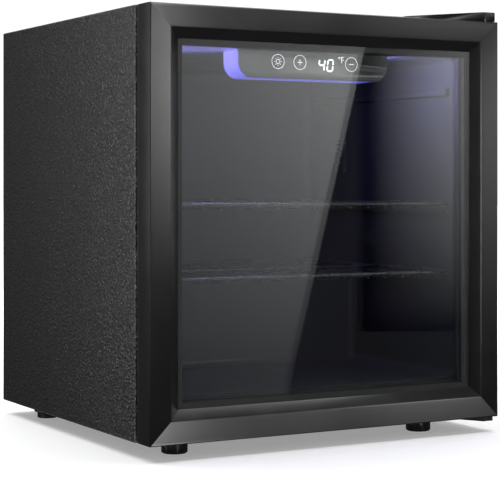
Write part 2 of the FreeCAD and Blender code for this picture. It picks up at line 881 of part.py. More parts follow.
def make_bay_pipes():
    """Copper pipes between compressor, condenser, drier and evaporator."""
    discharge_y = compressor_y - 20
    discharge_z = compressor_bottom + 66
    inside = mm.compressor_radius - 6
    discharge = plain(tube([
        (compressor_x + inside, discharge_y, discharge_z), (pipe_port_x, discharge_y, discharge_z),
        (pipe_port_x, bay_front + 26, pipe_port_z), (pipe_port_x, pipe_joint_y, pipe_port_z),
    ], mm.copper_radius, 12))
    node("discharge_tube", cut(discharge, compressor_drum(0)))
    entry_y = compressor_y - mm.compressor_radius / 2
    entry_z = compressor_bottom + 72
    suction = plain(tube([
        (suction_x, suction_y, evaporator_low - 1), (suction_x, suction_y, entry_z),
        (suction_x, entry_y, entry_z), (compressor_x - inside + 10, entry_y, entry_z),
    ], mm.copper_radius, 10))
    node("suction_tube", cut(suction, compressor_drum(0)))
    shaped("return_tube", tube([
        (-pipe_port_x, pipe_joint_y, pipe_port_z), (-pipe_port_x, drier_y, pipe_port_z),
        (-pipe_port_x + 20, drier_y, drier_low - 14), (drier_x, drier_y, drier_low - 14),
        (drier_x, drier_y, drier_low + 1),
    ], mm.coil_radius, 6))
    shoulder = 8
    barrel = rod((drier_x, drier_y, drier_low + shoulder), mm.drier_radius,
                 drier_high - drier_low - 2 * shoulder)
    drier = fuse(barrel, cone((drier_x, drier_y, drier_low), mm.coil_radius + 1, mm.drier_radius, shoulder),
                 cone((drier_x, drier_y, drier_high - shoulder), mm.drier_radius, 2.6, shoulder))
    socket = rod((drier_x, drier_y, drier_low - 1), mm.coil_radius, 2)
    outlet = rod((drier_x, drier_y, drier_high - 1), mm.capillary_radius, 2)
    node("filter_drier", cut(drier, socket, outlet))
    turn_z = bay_roof + 20
    shaped("capillary_tube", tube([
        (drier_x, drier_y, drier_high - 1), (drier_x, drier_y, turn_z),
        (drier_x, suction_y, turn_z), (drier_x, suction_y, evaporator_low - 1),
    ], mm.capillary_radius, 5))


def make_drain():
    """Melt water runs through a tube from the liner to a tray on the warm compressor."""
    wall = 2
    half_x, half_y = mm.compressor_radius - 10, mm.compressor_radius - 14

    def tray_block(inset, bottom, high):
        return rounded(box((compressor_x - half_x + inset, compressor_y - half_y + inset, bottom),
                           (compressor_x + half_x - inset, compressor_y + half_y - inset, high)),
                       8 - inset, edges_where("z"))

    outer = tray_block(0, compressor_top, compressor_top + mm.tray_height)
    node("drip_tray", cut(outer, tray_block(wall, compressor_top + wall, bay_roof + wall)))
    end_low = compressor_top + 6
    length = step_top - mm.liner_wall - end_low
    pipe = rod((drain_x, drain_y, end_low), mm.drain_bore + mm.drain_wall, length)
    node("drain_tube", cut(pipe, rod((drain_x, drain_y, end_low - 1), mm.drain_bore, length + 2)))


def make_power_parts():
    """The mains gland in the base's lip and the board that drives lamp and compressor."""
    behind = 8
    flange = rod((gland_x, shell_rear, gland_z), mm.gland_radius + 2.5, 2, "y")
    barrel = rod((gland_x, shell_rear - mm.base_plate - behind, gland_z), mm.gland_radius,
                 mm.base_plate + behind, "y")
    hole = rod((gland_x, shell_rear - 20, gland_z), mm.cord_hole_radius, 30, "y")
    node("cord_gland", cut(fuse(flange, barrel), hole))
    west, east = -shell_inside + 12, -shell_inside + 66
    box_front = bay_front + mm.sheet
    box_back = box_front + 30
    low_side, high_side = low + 24, low + 80
    outer = rounded(box((west, box_front, low_side), (east, box_back, high_side)), 3,
                    edges_where("xz", y=box_back))
    inner = box((west + 2, box_front - 1, low_side + 2), (east - 2, box_back - 2, high_side - 2))
    node("power_box", cut(outer, inner))
    board_y = box_front + 8
    board = box((west + 3, board_y, low_side + 4), (east - 3, board_y + 1.6, high_side - 4))
    parts = [
        rod((west + 14, board_y + 1, high_side - 16), 5, 14, "y"),
        rod((west + 28, board_y + 1, high_side - 16), 5, 14, "y"),
        box((west + 8, board_y + 1, low_side + 8), (west + 26, board_y + 15, low_side + 22)),
        box((west + 32, board_y + 1, low_side + 8), (west + 44, board_y + 12, low_side + 26)),
    ]
    node("power_board", fuse(board, *parts))


# ---------------------------------------------------------------- control unit, lamp, sensor

def control_slab(inset, y_low, y_high, high):
    """The control unit's outline between two depths: flat on top, round at the lower corners."""
    side = control_half - inset
    slab = box((-side, y_low, control_low + inset), (side, y_high, high))
    return rounded(slab, mm.control_radius - inset, edges_where("y", z=control_low + inset))


def make_control_unit():
    """A hollow casing hung from the ceiling, closed in front by the fascia with its keys."""
    wall = mm.casing_wall
    fascia_back = control_front + wall
    casing = control_slab(0, fascia_back, control_rear, liner_ceiling)
    room = control_slab(wall, fascia_back - 1, control_rear - wall, liner_ceiling - wall)
    node("control_casing", cut(casing, room))
    fascia = control_slab(0, control_front, fascia_back, liner_ceiling)
    node("control_fascia", fascia)
    board_front = fascia_back + 4
    board = box((-control_half + 10, board_front, control_low + 5),
                (control_half - 10, board_front + 1.6, liner_ceiling - 4))
    springs = [rod((x, fascia_back, icon_level), 5, 4.5, "y") for x in key_places]
    node("touch_board", fuse(board, *springs))
    node("display_module", box((display_left, fascia_back, icon_level - 10),
                               (display_right, board_front, icon_level + 7)))


def make_lamp():
    """A strip of lamps on the ceiling behind the control unit, under a clear trough."""
    start = control_rear + 1
    end = start + mm.lamp_depth
    half = mm.lamp_width / 2
    wall = 1.5
    lens_low = liner_ceiling - mm.lamp_drop
    outer = box((-half, start, lens_low), (half, end, liner_ceiling))
    outer = rounded(outer, 2 * wall, edges_where("x", z=lens_low))
    room = box((-half + wall, start + wall, lens_low + wall), (half - wall, end - wall, liner_ceiling + 1))
    node("lamp_lens", cut(outer, room))
    strip = box((-half + 4, start + 3, liner_ceiling - 1.6), (half - 4, end - 3, liner_ceiling))
    count = 12
    pitch = (mm.lamp_width - 24) / (count - 1)
    middle = (start + end) / 2
    dies = [box((-half + 12 + turn * pitch - 1.75, middle - 1.4, liner_ceiling - 3),
                (-half + 12 + turn * pitch + 1.75, middle + 1.4, liner_ceiling - 1)) for turn in range(count)]
    node("lamp_board", fuse(strip, *dies))


def make_sensor():
    """The slotted cover over the temperature sensor on the right wall, and its probe."""
    wall = 2
    inner = liner_half - mm.sensor_depth
    y_low, y_high = sensor_y - mm.sensor_width / 2, sensor_y + mm.sensor_width / 2
    z_low, z_high = sensor_z - mm.sensor_height / 2, sensor_z + mm.sensor_height / 2
    cover = rounded(box((inner, y_low, z_low), (liner_half, y_high, z_high)), 3, edges_where("yz", x=inner))
    room = box((inner + wall, y_low + wall, z_low + wall), (liner_half + 1, y_high - wall, z_high - wall))
    count = 6
    pitch = (mm.sensor_height - 8) / count
    slots = []
    for turn in range(count):
        slot_low = z_low + 6 + turn * pitch
        slots.append(box((inner - 1, y_low + 2 * wall, slot_low), (inner + wall + 1, y_high - 2 * wall,
                                                                   slot_low + 2.5)))
    node("sensor_cover", cut(cover, room, *slots))
    node("temperature_sensor", rod((liner_half - probe_radius, sensor_y, z_low + 6), probe_radius,
                                   mm.sensor_height - 14))


# ---------------------------------------------------------------- door

def rail_outline(edge, sign):
    """A rail's section: distance in from the door's edge, and distance back from its face."""
    bevel_end = mm.rail_face + mm.rail_bevel
    depth = mm.door_thickness - mm.inner_frame_plate
    flat = mm.rail_edge_radius + 0.8
    section = (
        (0, 0), (flat, 0), (mm.rail_face, mm.rail_slope), (bevel_end, mm.glass_setback - mm.lip_thickness),
        (bevel_end, mm.glass_setback), (rail_inner_wall, mm.glass_setback), (rail_inner_wall, depth),
        (0, depth),
    )
    return [(edge + sign * as_size(inward), front + back) for inward, back in section]


def chamber_outline(edge, sign):
    """The hollow chamber inside a rail, in the same terms."""
    wall = mm.rail_chamber_wall
    inner_wall = rail_inner_wall - wall
    depth = mm.door_thickness - mm.inner_frame_plate - wall
    section = ((wall, wall + mm.rail_edge_radius * 0.4), (inner_wall, wall + mm.rail_slope + 1.2),
               (inner_wall, depth), (wall, depth))
    return [(edge + sign * inward, front + back) for inward, back in section]


def mitre(piece, plane_points):
    pocket(piece, "XZ", plane_points, front - 1, front + mm.door_thickness + 1)


def make_rails():
    """Four hollow rails, mitred at the corners; the top and bottom ones are bored for the bushes."""
    reach = mm.key_leg
    wall = mm.rail_chamber_wall
    for name, edge, sign in (("door_top_rail", door_high, -1), ("door_bottom_rail", door_low, 1)):
        rail = body(name)
        section = [(y, z) for z, y in rail_outline(edge, sign)]
        pad(rail, "YZ", section, -half_width, half_width)
        round_edges(rail, mm.rail_edge_radius, edges_where("x", y=front, z=edge))
        hollow = [(y, z) for z, y in chamber_outline(edge, sign)]
        pocket(rail, "YZ", hollow, -half_width - 1, half_width + 1)
        tip = edge + sign * reach
        for side in (-1, 1):
            corner = half_width * side
            mitre(rail, [(corner, edge), (corner, tip), (corner - side * reach, tip)])
        hole_low = edge - wall - 1 if sign < 0 else edge - 1
        bore(rail, (pivot_x, pivot_y, hole_low), bush_radius, wall + 2)
    for name, edge, sign in (("door_left_stile", -half_width, 1), ("door_right_stile", half_width, -1)):
        stile = body(name)
        pad(stile, "XY", rail_outline(edge, sign), door_low, door_high)
        round_edges(stile, mm.rail_edge_radius, edges_where("z", x=edge, y=front))
        pocket(stile, "XY", chamber_outline(edge, sign), door_low - 1, door_high + 1)
        for end, up in ((door_high, -1), (door_low, 1)):
            tip = edge + sign * reach
            mitre(stile, [(edge, end), (tip, end), (tip, end + up * reach)])


def make_corner_keys():
    """L-shaped keys that join the rails inside their chambers; the right ones hold the bushes."""
    gap = 0.3
    wall = mm.rail_chamber_wall
    near = wall + gap
    far = rail_inner_wall - wall - gap
    y_low = front + wall + mm.rail_slope + 1.2 + gap
    y_high = frame_front - wall - gap
    keys = []
    for side in (-1, 1):
        for end, up in ((door_high, -1), (door_low, 1)):
            def span(origin, way, start, stop):
                ends = (origin + way * start, origin + way * stop)
                return ends if way > 0 else ends[::-1]
            x_side = half_width * side
            x_long = span(x_side, -side, near, mm.key_leg)
            x_short = span(x_side, -side, near, far)
            z_long = span(end, up, near, mm.key_leg)
            z_short = span(end, up, near, far)
            key = fuse(box((x_long[0], y_low, z_short[0]), (x_long[1], y_high, z_short[1])),
                       box((x_short[0], y_low, z_long[0]), (x_short[1], y_high, z_long[1])))
            if side > 0:
                hole_low = end - mm.key_leg - 1 if up < 0 else end - 1
                key = cut(key, rod((pivot_x, pivot_y, hole_low), bush_radius, mm.key_leg + 2))
            keys.append(key)
    node("corner_keys", group(*keys))


def make_bushes():
    """Plastic bushes in the door's right corners, in which the hinge pins turn."""
    for name, start in (("upper_bush", door_high - mm.pin_length - 1), ("lower_bush", door_low)):
        length = mm.pin_length + 1
        sleeve = rod((pivot_x, pivot_y, start), bush_radius, length)
        node(name, cut(sleeve, rod((pivot_x, pivot_y, start - 1), bush_bore, length + 2)))


def frame_ring(outer, inner, y_low, y_high):
    """A rectangular ring in the door: outer and inner are distances in from the door's edges."""
    return cut(pane(outer, y_low, y_high), pane(inner, y_low - 1, y_high + 1))


def pane(inset, y_low, y_high):
    """A flat slab in the door, a distance in from the door's edges all round."""
    side = half_width - inset
    return box((-side, y_low, door_low + inset), (side, y_high, door_high - inset))


def make_glazing():
    """Two panes held apart by a spacer, clamped by a plastic frame that also holds the seal."""
    glass_inset = rail_inner_wall + mm.glass_edge_gap
    face = front + mm.glass_setback
    node("outer_glass", pane(glass_inset, face, face + mm.glass_thickness))
    spacer_outer = glass_inset + mm.spacer_inset
    spacer_back = face + mm.glass_thickness + mm.glass_spacing
    node("glazing_spacer", frame_ring(spacer_outer, spacer_outer + mm.spacer_width,
                                      face + mm.glass_thickness, spacer_back))
    node("inner_glass", pane(glass_inset, spacer_back, spacer_back + mm.inner_glass_thickness))
    clamp_front = spacer_back + mm.inner_glass_thickness
    plate_back = front + mm.door_thickness
    plate = frame_ring(1, mm.inner_frame_width, frame_front, plate_back)
    clamp = frame_ring(glass_inset, mm.inner_frame_width, clamp_front, frame_front)
    root_inset = mm.seal_outer + (mm.seal_width - mm.seal_root) / 2
    groove = frame_ring(root_inset, root_inset + mm.seal_root, plate_back - 2, plate_back + 1)
    node("door_inner_frame", cut(fuse(plate, clamp), groove))
    seal_back = plate_back + mm.seal_thickness
    tube_ring = frame_ring(mm.seal_outer, mm.seal_outer + mm.seal_width, plate_back, seal_back)
    root = frame_ring(root_inset, root_inset + mm.seal_root, plate_back - 2, plate_back)
    room_inset = mm.seal_outer + 2
    room = frame_ring(room_inset, room_inset + mm.seal_width - 4, plate_back + 0.8, seal_back - 0.7)
    node("door_seal", cut(fuse(tube_ring, root), room))
    make_magnets(plate_back + 1)


def make_magnets(y_low):
    """Four magnet strips lie in the hollow of the seal and pull it to the steel flange."""
    start = mm.seal_outer + (mm.seal_width - mm.magnet_width) / 2
    y_high = y_low + mm.magnet_thickness
    reach_x = half_width - start - mm.magnet_width - 1
    strips = []
    for edge, way in ((door_low, 1), (door_high, -1)):
        z_near, z_far = edge + way * start, edge + way * (start + mm.magnet_width)
        z_low, z_high = (z_near, z_far) if way > 0 else (z_far, z_near)
        strips.append(box((-reach_x, y_low, z_low), (reach_x, y_high, z_high)))
    for side in (-1, 1):
        x_near, x_far = side * (half_width - start), side * (half_width - start - mm.magnet_width)
        x_low, x_high = (x_near, x_far) if side < 0 else (x_far, x_near)
        strips.append(box((x_low, y_low, door_low + start), (x_high, y_high, door_high - start)))
    node("seal_magnets", group(*strips))


# ---------------------------------------------------------------- hinges

def top_hinge_outline(inset):
    """The top hinge's plan, drawn in by an inset: narrow over the door, wide over the cabinet."""
    slant = 0.55
    return ((top_cover_right - inset, top_cover_front + inset),
            (top_cover_notch + inset * slant, top_cover_front + inset),
            (top_cover_left + inset, top_cover_bend + inset * 0.3),
            (top_cover_left + inset, top_cover_back - inset),
            (top_cover_right - inset, top_cover_back - inset))


def make_top_hinge():
    """A plate screwed to the cabinet's top with a pin down into the door, under a plastic cover."""
    wall = mm.hinge_cover_wall
    cover_top = top + mm.hinge_cover_height
    cover = body("top_hinge_cover")
    pad(cover, "XY", top_hinge_outline(0), top, cover_top)
    round_edges(cover, 1.2, edges_where("xyz", z=cover_top))
    pocket(cover, "XY", top_hinge_outline(wall), top - 1, cover_top - wall)
    plate = body("top_hinge_plate")
    pad(plate, "XY", top_hinge_outline(wall + 1), top, top + mm.hinge_plate)
    bore(plate, (pivot_x, pivot_y, top - mm.pin_length), mm.pin_radius, mm.pin_length + mm.hinge_plate + 2,
         away=False)
    for x, y in top_screw_spots:
        bore(plate, (x, y, top - 1), mm.screw_shank, mm.hinge_plate + 2)
    length = mm.screw_reach + mm.hinge_plate
    node("top_hinge_screws", group(*(
        screw((x, y, top - mm.screw_reach), 5, 2.6, mm.screw_shank, length, "z")
        for x, y in top_screw_spots)))


def make_bottom_hinge():
    """A thicker plate under the cabinet with a pin up into the door."""
    right = bottom_plate_right
    underside = low - mm.lower_plate
    points = ((right, bottom_plate_front), (right - 15, bottom_plate_front), (right - 50, bottom_plate_bend),
              (right - 50, bottom_plate_back), (right, bottom_plate_back))
    plate = body("bottom_hinge_plate")
    pad(plate, "XY", points, underside, low)
    round_edges(plate, 2, edges_where("z", y=bottom_plate_front))
    bore(plate, (pivot_x, pivot_y, underside), mm.pin_radius, mm.lower_plate + mm.pin_length, away=False)
    for x, y in bottom_screw_spots:
        bore(plate, (x, y, underside - 1), mm.screw_shank, mm.lower_plate + 2)
    length = mm.lower_plate + mm.screw_reach
    node("bottom_hinge_screws", group(*(
        screw((x, y, underside), 4.5, 2.6, mm.screw_shank, length, "z", head_first=True)
        for x, y in bottom_screw_spots)))


# ---------------------------------------------------------------- feet

def make_feet():
    """Two screw feet at the front in threaded inserts, and two plain stepped feet at the back."""
    pad_height = mm.foot_height - 0.5
    inserts = []
    for name, foot_x in (("left", left_foot_x), ("right", right_foot_x)):
        foot = body(f"front_foot_{name}")
        radius = mm.foot_radius
        points = ((0, 0), (radius - 1.5, 0), (radius, 1.5), (radius, pad_height - 0.8),
                  (radius - 0.8, pad_height), (mm.stud_radius, pad_height),
                  (mm.stud_radius, pad_height + mm.stud_length), (0, pad_height + mm.stud_length))
        revolve(foot, points, (foot_x, front_foot_y, 0))
        hole = mm.stud_radius + mm.running_gap
        sleeve = rod((foot_x, front_foot_y, low), mm.insert_radius, mm.insert_length)
        inserts.append(cut(sleeve, rod((foot_x, front_foot_y, low - 1), hole, mm.insert_length + 2)))
    node("foot_inserts", group(*inserts))
    feet = []
    for side in (-1, 1):
        spot_x = rear_foot_x * side
        tread_height = 8
        base = rod((spot_x, rear_foot_y, tread_height), 17, mm.foot_height - tread_height)
        tread = rounded(rod((spot_x, rear_foot_y, 0), 13, tread_height), 1, rim_at("z", 0))
        feet.append(fuse(base, tread))
    node("rear_feet", group(*feet))


# ---------------------------------------------------------------- wire shelves

def make_shelf(name, level):
    """A bent wire frame with straight rods across it, all welded together."""
    wire = mm.shelf_wire / 2
    rod_radius = mm.shelf_rod / 2
    frame_z = level + mm.slip_gap + wire
    side = liner_half - mm.shelf_side_gap - wire
    start = cabinet_front + mm.shelf_setback + wire
    end = liner_back - mm.shelf_back_gap - wire
    corners = [(0, start), (side, start), (side, end), (-side, end), (-side, start), (0, start)]
    loop = tube([(x, y, frame_z) for x, y in corners], wire, mm.shelf_corner)
    rod_z = frame_z - wire - rod_radius + 0.5
    reach = liner_half - mm.rib_reach - 3 - rod_radius
    count = 2 * int(reach.number // mm.shelf_pitch.number) + 1
    first = -mm.shelf_pitch * (count - 1) / 2
    rods = []
    for turn in range(count):
        x = first + mm.shelf_pitch * turn
        rods.append(rod((x, start, rod_z), rod_radius, end - start, "y"))
    middle = (start + end) / 2
    brace = rod((-side, middle, frame_z), rod_radius, side * 2, "x")
    node(name, fuse(plain(loop), brace, *rods))


# ---------------------------------------------------------------- build, check, export

make_outer_shell()
make_base_pan()
make_bay_wall()
make_compressor_base()
make_back_panel()
make_back_screws()
make_liner_and_foam()
make_evaporator()
make_condenser()
make_compressor()
make_compressor_mounts()
make_relay_cover()
make_bay_pipes()
make_drain()
make_power_parts()
make_control_unit()
make_lamp()
make_sensor()
make_rails()
make_corner_keys()
make_bushes()
make_glazing()
make_top_hinge()
make_bottom_hinge()
make_feet()
make_shelf("upper_shelf", upper_shelf_level)
make_shelf("lower_shelf", lower_shelf_level)
doc.recompute()

for thing in doc.Objects:
    if "Invalid" in thing.State or "Error" in thing.State:
        raise RuntimeError(f"{thing.Label} ({thing.Name}) failed: {thing.State}")
for made in nodes:
    if made.Shape.isNull() or not made.Shape.isValid() or not made.Shape.Solids:
        raise RuntimeError(f"{made.Label} has no valid solid")

os.makedirs("parts", exist_ok=True)
for made in nodes:
    made.Shape.exportStep(os.path.join("parts", made.Label + ".step"))
print(f"{len(nodes)} nodes written")
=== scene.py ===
# %% [markdown]
# # A small drinks fridge with a glass door
# The steel case, the mitred door, the cold inside and the compressor bay are all packed as a CAD
# model with joints. This lesson keeps that model as a fixed frame and dresses it: pieces whose
# shape is already right get a finish, and pieces that deserve finer shapes are built again in
# place. Sizes are in metres, X to the right, Y to the back, Z up.

# %% Load the frame
import json
import math

import bmesh
import bpy
from mathutils import Matrix, Vector

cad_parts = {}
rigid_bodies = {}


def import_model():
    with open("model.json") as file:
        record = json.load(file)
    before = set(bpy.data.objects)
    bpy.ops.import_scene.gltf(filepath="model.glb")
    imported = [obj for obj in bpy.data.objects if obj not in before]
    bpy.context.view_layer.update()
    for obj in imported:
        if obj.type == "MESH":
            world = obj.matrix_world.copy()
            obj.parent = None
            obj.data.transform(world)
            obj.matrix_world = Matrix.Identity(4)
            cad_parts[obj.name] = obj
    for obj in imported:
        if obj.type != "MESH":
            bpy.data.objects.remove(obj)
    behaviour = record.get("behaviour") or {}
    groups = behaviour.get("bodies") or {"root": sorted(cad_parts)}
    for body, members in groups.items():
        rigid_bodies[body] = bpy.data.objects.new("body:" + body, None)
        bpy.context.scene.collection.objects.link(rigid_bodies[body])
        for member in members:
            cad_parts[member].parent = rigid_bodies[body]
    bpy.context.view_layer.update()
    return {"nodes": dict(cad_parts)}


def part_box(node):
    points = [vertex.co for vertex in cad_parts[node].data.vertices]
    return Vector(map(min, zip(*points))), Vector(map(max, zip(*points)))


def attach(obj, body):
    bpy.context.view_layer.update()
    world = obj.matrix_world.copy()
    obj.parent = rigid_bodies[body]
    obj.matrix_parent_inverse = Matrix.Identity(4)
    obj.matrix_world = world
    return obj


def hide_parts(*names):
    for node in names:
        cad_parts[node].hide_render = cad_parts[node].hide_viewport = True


for leftover in list(bpy.data.objects):
    bpy.data.objects.remove(leftover)

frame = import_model()
nodes = frame["nodes"]
MM = 0.001
MERGE_DISTANCE = 0.01 * MM
FLAT_ANGLE = 0.6  # degrees; flatter folds than this are one face

# %% [markdown]
# ## Camera
# The camera is level, at a third of a metre, about two metres away and turned 29 degrees, so the
# left side and the door both show. A level camera keeps upright edges parallel; the lens is
# shifted down instead of tilted, as an architect's camera would be.

# %% Set the camera
camera_data = bpy.data.cameras.new("level_camera")
camera_data.sensor_width = 36
camera_data.lens = 116.2
camera_data.shift_y = -0.12666
camera = bpy.data.objects.new("level_camera", camera_data)
camera.location = (-0.996, -1.797, 0.3074)
camera.rotation_euler = (math.radians(90), 0, math.radians(-29.33))
bpy.context.scene.collection.objects.link(camera)
scene = bpy.context.scene
scene.camera = camera
scene.view_settings.view_transform = "Standard"
print("camera", round(camera.location.length, 2), "m from the origin")

# %% [markdown]
# ## Small helpers for node trees
# Every finish is a node tree. `add` makes one node, sets its options and fills its sockets, either
# with plain values or with links. `new_group` makes an empty group with named inputs and outputs,
# because an effect that several finishes share is built once and reused with other values.


# %% Node helpers
def add(tree, kind, inputs=None, **options):
    """One node in a tree; a socket given as a value is linked, anything else is set."""
    node = tree.nodes.new(kind)
    for option, value in options.items():
        setattr(node, option, value)
    for key, value in (inputs or {}).items():
        if isinstance(value, bpy.types.NodeSocket):
            tree.links.new(value, node.inputs[key])
        else:
            node.inputs[key].default_value = value
    return node


def new_group(name, inputs, outputs):
    """An empty shader group, and the nodes that hold its inputs and outputs."""
    group = bpy.data.node_groups.new(name, "ShaderNodeTree")
    for label, (kind, value) in inputs.items():
        socket = group.interface.new_socket(label, in_out="INPUT", socket_type="NodeSocket" + kind)
        if value is not None:
            socket.default_value = value
    for label, kind in outputs.items():
        group.interface.new_socket(label, in_out="OUTPUT", socket_type="NodeSocket" + kind)
    return group, group.nodes.new("NodeGroupInput").outputs, group.nodes.new("NodeGroupOutput").inputs


def math_node(tree, operation, first, second=0.0):
    """One arithmetic step, as a socket."""
    return add(tree, "ShaderNodeMath", {0: first, 1: second}, operation=operation).outputs[0]


def scaled(tree, place, size):
    """A place divided by a size, so that a texture of scale 1 has features of that size."""
    inverse = math_node(tree, "DIVIDE", 1.0, size)
    node = add(tree, "ShaderNodeVectorMath", {0: place, "Scale": inverse}, operation="SCALE")
    return node.outputs[0]


def noise(tree, place, size, detail=2.0, roughness=0.5):
    """Noise of a feature size given in metres, as a value around one half."""
    node = add(tree, "ShaderNodeTexNoise", {"Vector": scaled(tree, place, size), "Scale": 1.0,
                                            "Detail": detail, "Roughness": roughness})
    return node.outputs["Fac"]


def remap(tree, value, low, high, to_low=0.0, to_high=1.0):
    """A value moved from one range to another and held inside it."""
    node = add(tree, "ShaderNodeMapRange", {"Value": value, "From Min": low, "From Max": high,
                                            "To Min": to_low, "To Max": to_high})
    return node.outputs["Result"]


def blend(tree, amount, first, second):
    """A mix of two colours."""
    node = add(tree, "ShaderNodeMix", data_type="RGBA")
    for socket, value in zip((node.inputs[0], node.inputs[6], node.inputs[7]), (amount, first, second)):
        if isinstance(value, bpy.types.NodeSocket):
            tree.links.new(value, socket)
        else:
            socket.default_value = value
    return node.outputs[2]


def grey(value, tint=(1.0, 1.0, 1.0)):
    """A colour of one brightness, slightly tinted if asked."""
    return (value * tint[0], value * tint[1], value * tint[2], 1.0)


def finish_material(name, **shader_values):
    """A material with one Principled shader; returns what a finish is built from."""
    material = bpy.data.materials.new(name)
    material.use_nodes = True
    tree = material.node_tree
    tree.nodes.clear()
    output = tree.nodes.new("ShaderNodeOutputMaterial")
    values = {key.replace("_", " "): value for key, value in shader_values.items()}
    shader = add(tree, "ShaderNodeBsdfPrincipled", values)
    tree.links.new(shader.outputs[0], output.inputs["Surface"])
    place = tree.nodes.new("ShaderNodeTexCoord").outputs["Object"]
    return material, tree, shader, place


def use_bump(tree, shader, height, depth):
    """Relief of a real depth in metres, which feeds the shader's normal."""
    bump = add(tree, "ShaderNodeBump", {"Height": height, "Distance": depth, "Strength": 1.0})
    tree.links.new(bump.outputs[0], shader.inputs["Normal"])


def use_group(tree, group, inputs):
    """A shared effect placed in a tree, as its outputs."""
    return add(tree, "ShaderNodeGroup", inputs, node_tree=group).outputs


def use_surface(tree, surface):
    """Another shader put in front of the material's output."""
    output = next(node for node in tree.nodes if node.bl_idname == "ShaderNodeOutputMaterial")
    tree.links.new(surface, output.inputs["Surface"])


print("node helpers ready")

# %% [markdown]
# ## Shared effects
# A factory finish is never one flat colour. Handling leaves faint smears that change the gloss,
# moulded plastic carries the fine grain of its tool, and paint has an orange peel. Each effect
# is a shader group that puts out values only; the shader stays in the material itself.

# %% Handling smears
smears, arrives, leaves = new_group(
    "Handling Smears",
    {"Place": ("Vector", None), "Smear Size": ("Float", 0.05), "Roughness": ("Float", 0.4),
     "Spread": ("Float", 0.1)},
    {"Roughness": "Float", "Mask": "Float"})
cloud = noise(smears, arrives["Place"], arrives["Smear Size"], 4.0, 0.6)
mask = remap(smears, cloud, 0.38, 0.68)
signed = math_node(smears, "SUBTRACT", mask, 0.5)
change = math_node(smears, "MULTIPLY", signed, arrives["Spread"])
smears.links.new(math_node(smears, "ADD", arrives["Roughness"], change), leaves["Roughness"])
smears.links.new(mask, leaves["Mask"])
print(smears.name, "has", len(smears.nodes), "nodes")

# %% [markdown]
# ## Fine grain
# A moulded piece carries the texture of its tool: fine grain, with broad patches where the
# surface is a little paler. One group puts out colour, gloss and height for all plastics and paints.

# %% Fine grain of moulded plastic
grain, arrives, leaves = new_group(
    "Moulded Grain",
    {"Place": ("Vector", None), "Grain Size": ("Float", 0.0008), "Base": ("Color", grey(0.02)),
     "Worn": ("Color", grey(0.05)), "Roughness": ("Float", 0.45), "Unevenness": ("Float", 0.1)},
    {"Color": "Color", "Roughness": "Float", "Height": "Float"})
fine = noise(grain, arrives["Place"], arrives["Grain Size"], 2.0, 0.6)
coarse = noise(grain, arrives["Place"], 0.06, 3.0, 0.55)
tone = math_node(grain, "MULTIPLY", remap(grain, coarse, 0.35, 0.75), 0.45)
tone = math_node(grain, "ADD", tone, remap(grain, fine, 0.45, 0.7, 0.0, 0.3))
grain.links.new(blend(grain, tone, arrives["Base"], arrives["Worn"]), leaves["Color"])
gloss = use_group(grain, smears, {"Place": arrives["Place"], "Smear Size": 0.04,
                                  "Roughness": arrives["Roughness"], "Spread": arrives["Unevenness"]})
grain.links.new(gloss["Roughness"], leaves["Roughness"])
grain.links.new(fine, leaves["Height"])
print(grain.name, "has", len(grain.nodes), "nodes")

# %% [markdown]
# ## Edge wear and edge highlight
# Paint and plastic rub off first on folds. A rounded normal differs from the true one only near
# a fold, so the difference marks the edge; noise breaks it up, as real wear is never even. On the
# case the same mask, made strong and pale, is also a painted highlight along its front bend.

# %% Edge wear and edge highlight
edge_wear_and_highlight, arrives, leaves = new_group(
    "Edge Wear And Highlight",
    {"Place": ("Vector", None), "Edge Width": ("Float", 0.0012), "Amount": ("Float", 0.5)},
    {"Mask": "Float"})
rounded = add(edge_wear_and_highlight, "ShaderNodeBevel", {"Radius": arrives["Edge Width"]}, samples=4)
face = add(edge_wear_and_highlight, "ShaderNodeNewGeometry")
agree = add(edge_wear_and_highlight, "ShaderNodeVectorMath", {0: rounded.outputs[0], 1: face.outputs["Normal"]},
            operation="DOT_PRODUCT")
edge = remap(edge_wear_and_highlight, agree.outputs["Value"], 0.995, 0.85)
broken = remap(edge_wear_and_highlight, noise(edge_wear_and_highlight, arrives["Place"], 0.006, 4.0, 0.7), 0.42, 0.66)
both = math_node(edge_wear_and_highlight, "MULTIPLY", math_node(edge_wear_and_highlight, "MULTIPLY", edge, broken), arrives["Amount"])
edge_wear_and_highlight.links.new(both, leaves["Mask"])
print(edge_wear_and_highlight.name, "has", len(edge_wear_and_highlight.nodes), "nodes")

# %% [markdown]
# ## Embossed steel of the case
# The case is thin steel sheet, rolled with a pebble pattern before it was painted black. Pebbles
# two or three millimetres across hide dents and finger marks. Cell noise gives round tops with
# narrow valleys; a second noise bends the cells so that no two are alike. The tops of the
# pebbles are glossier than the valleys, and some carry pale specks that are painted glints; more
# painted glints lie near the door than at the back, a painted falloff of the light.

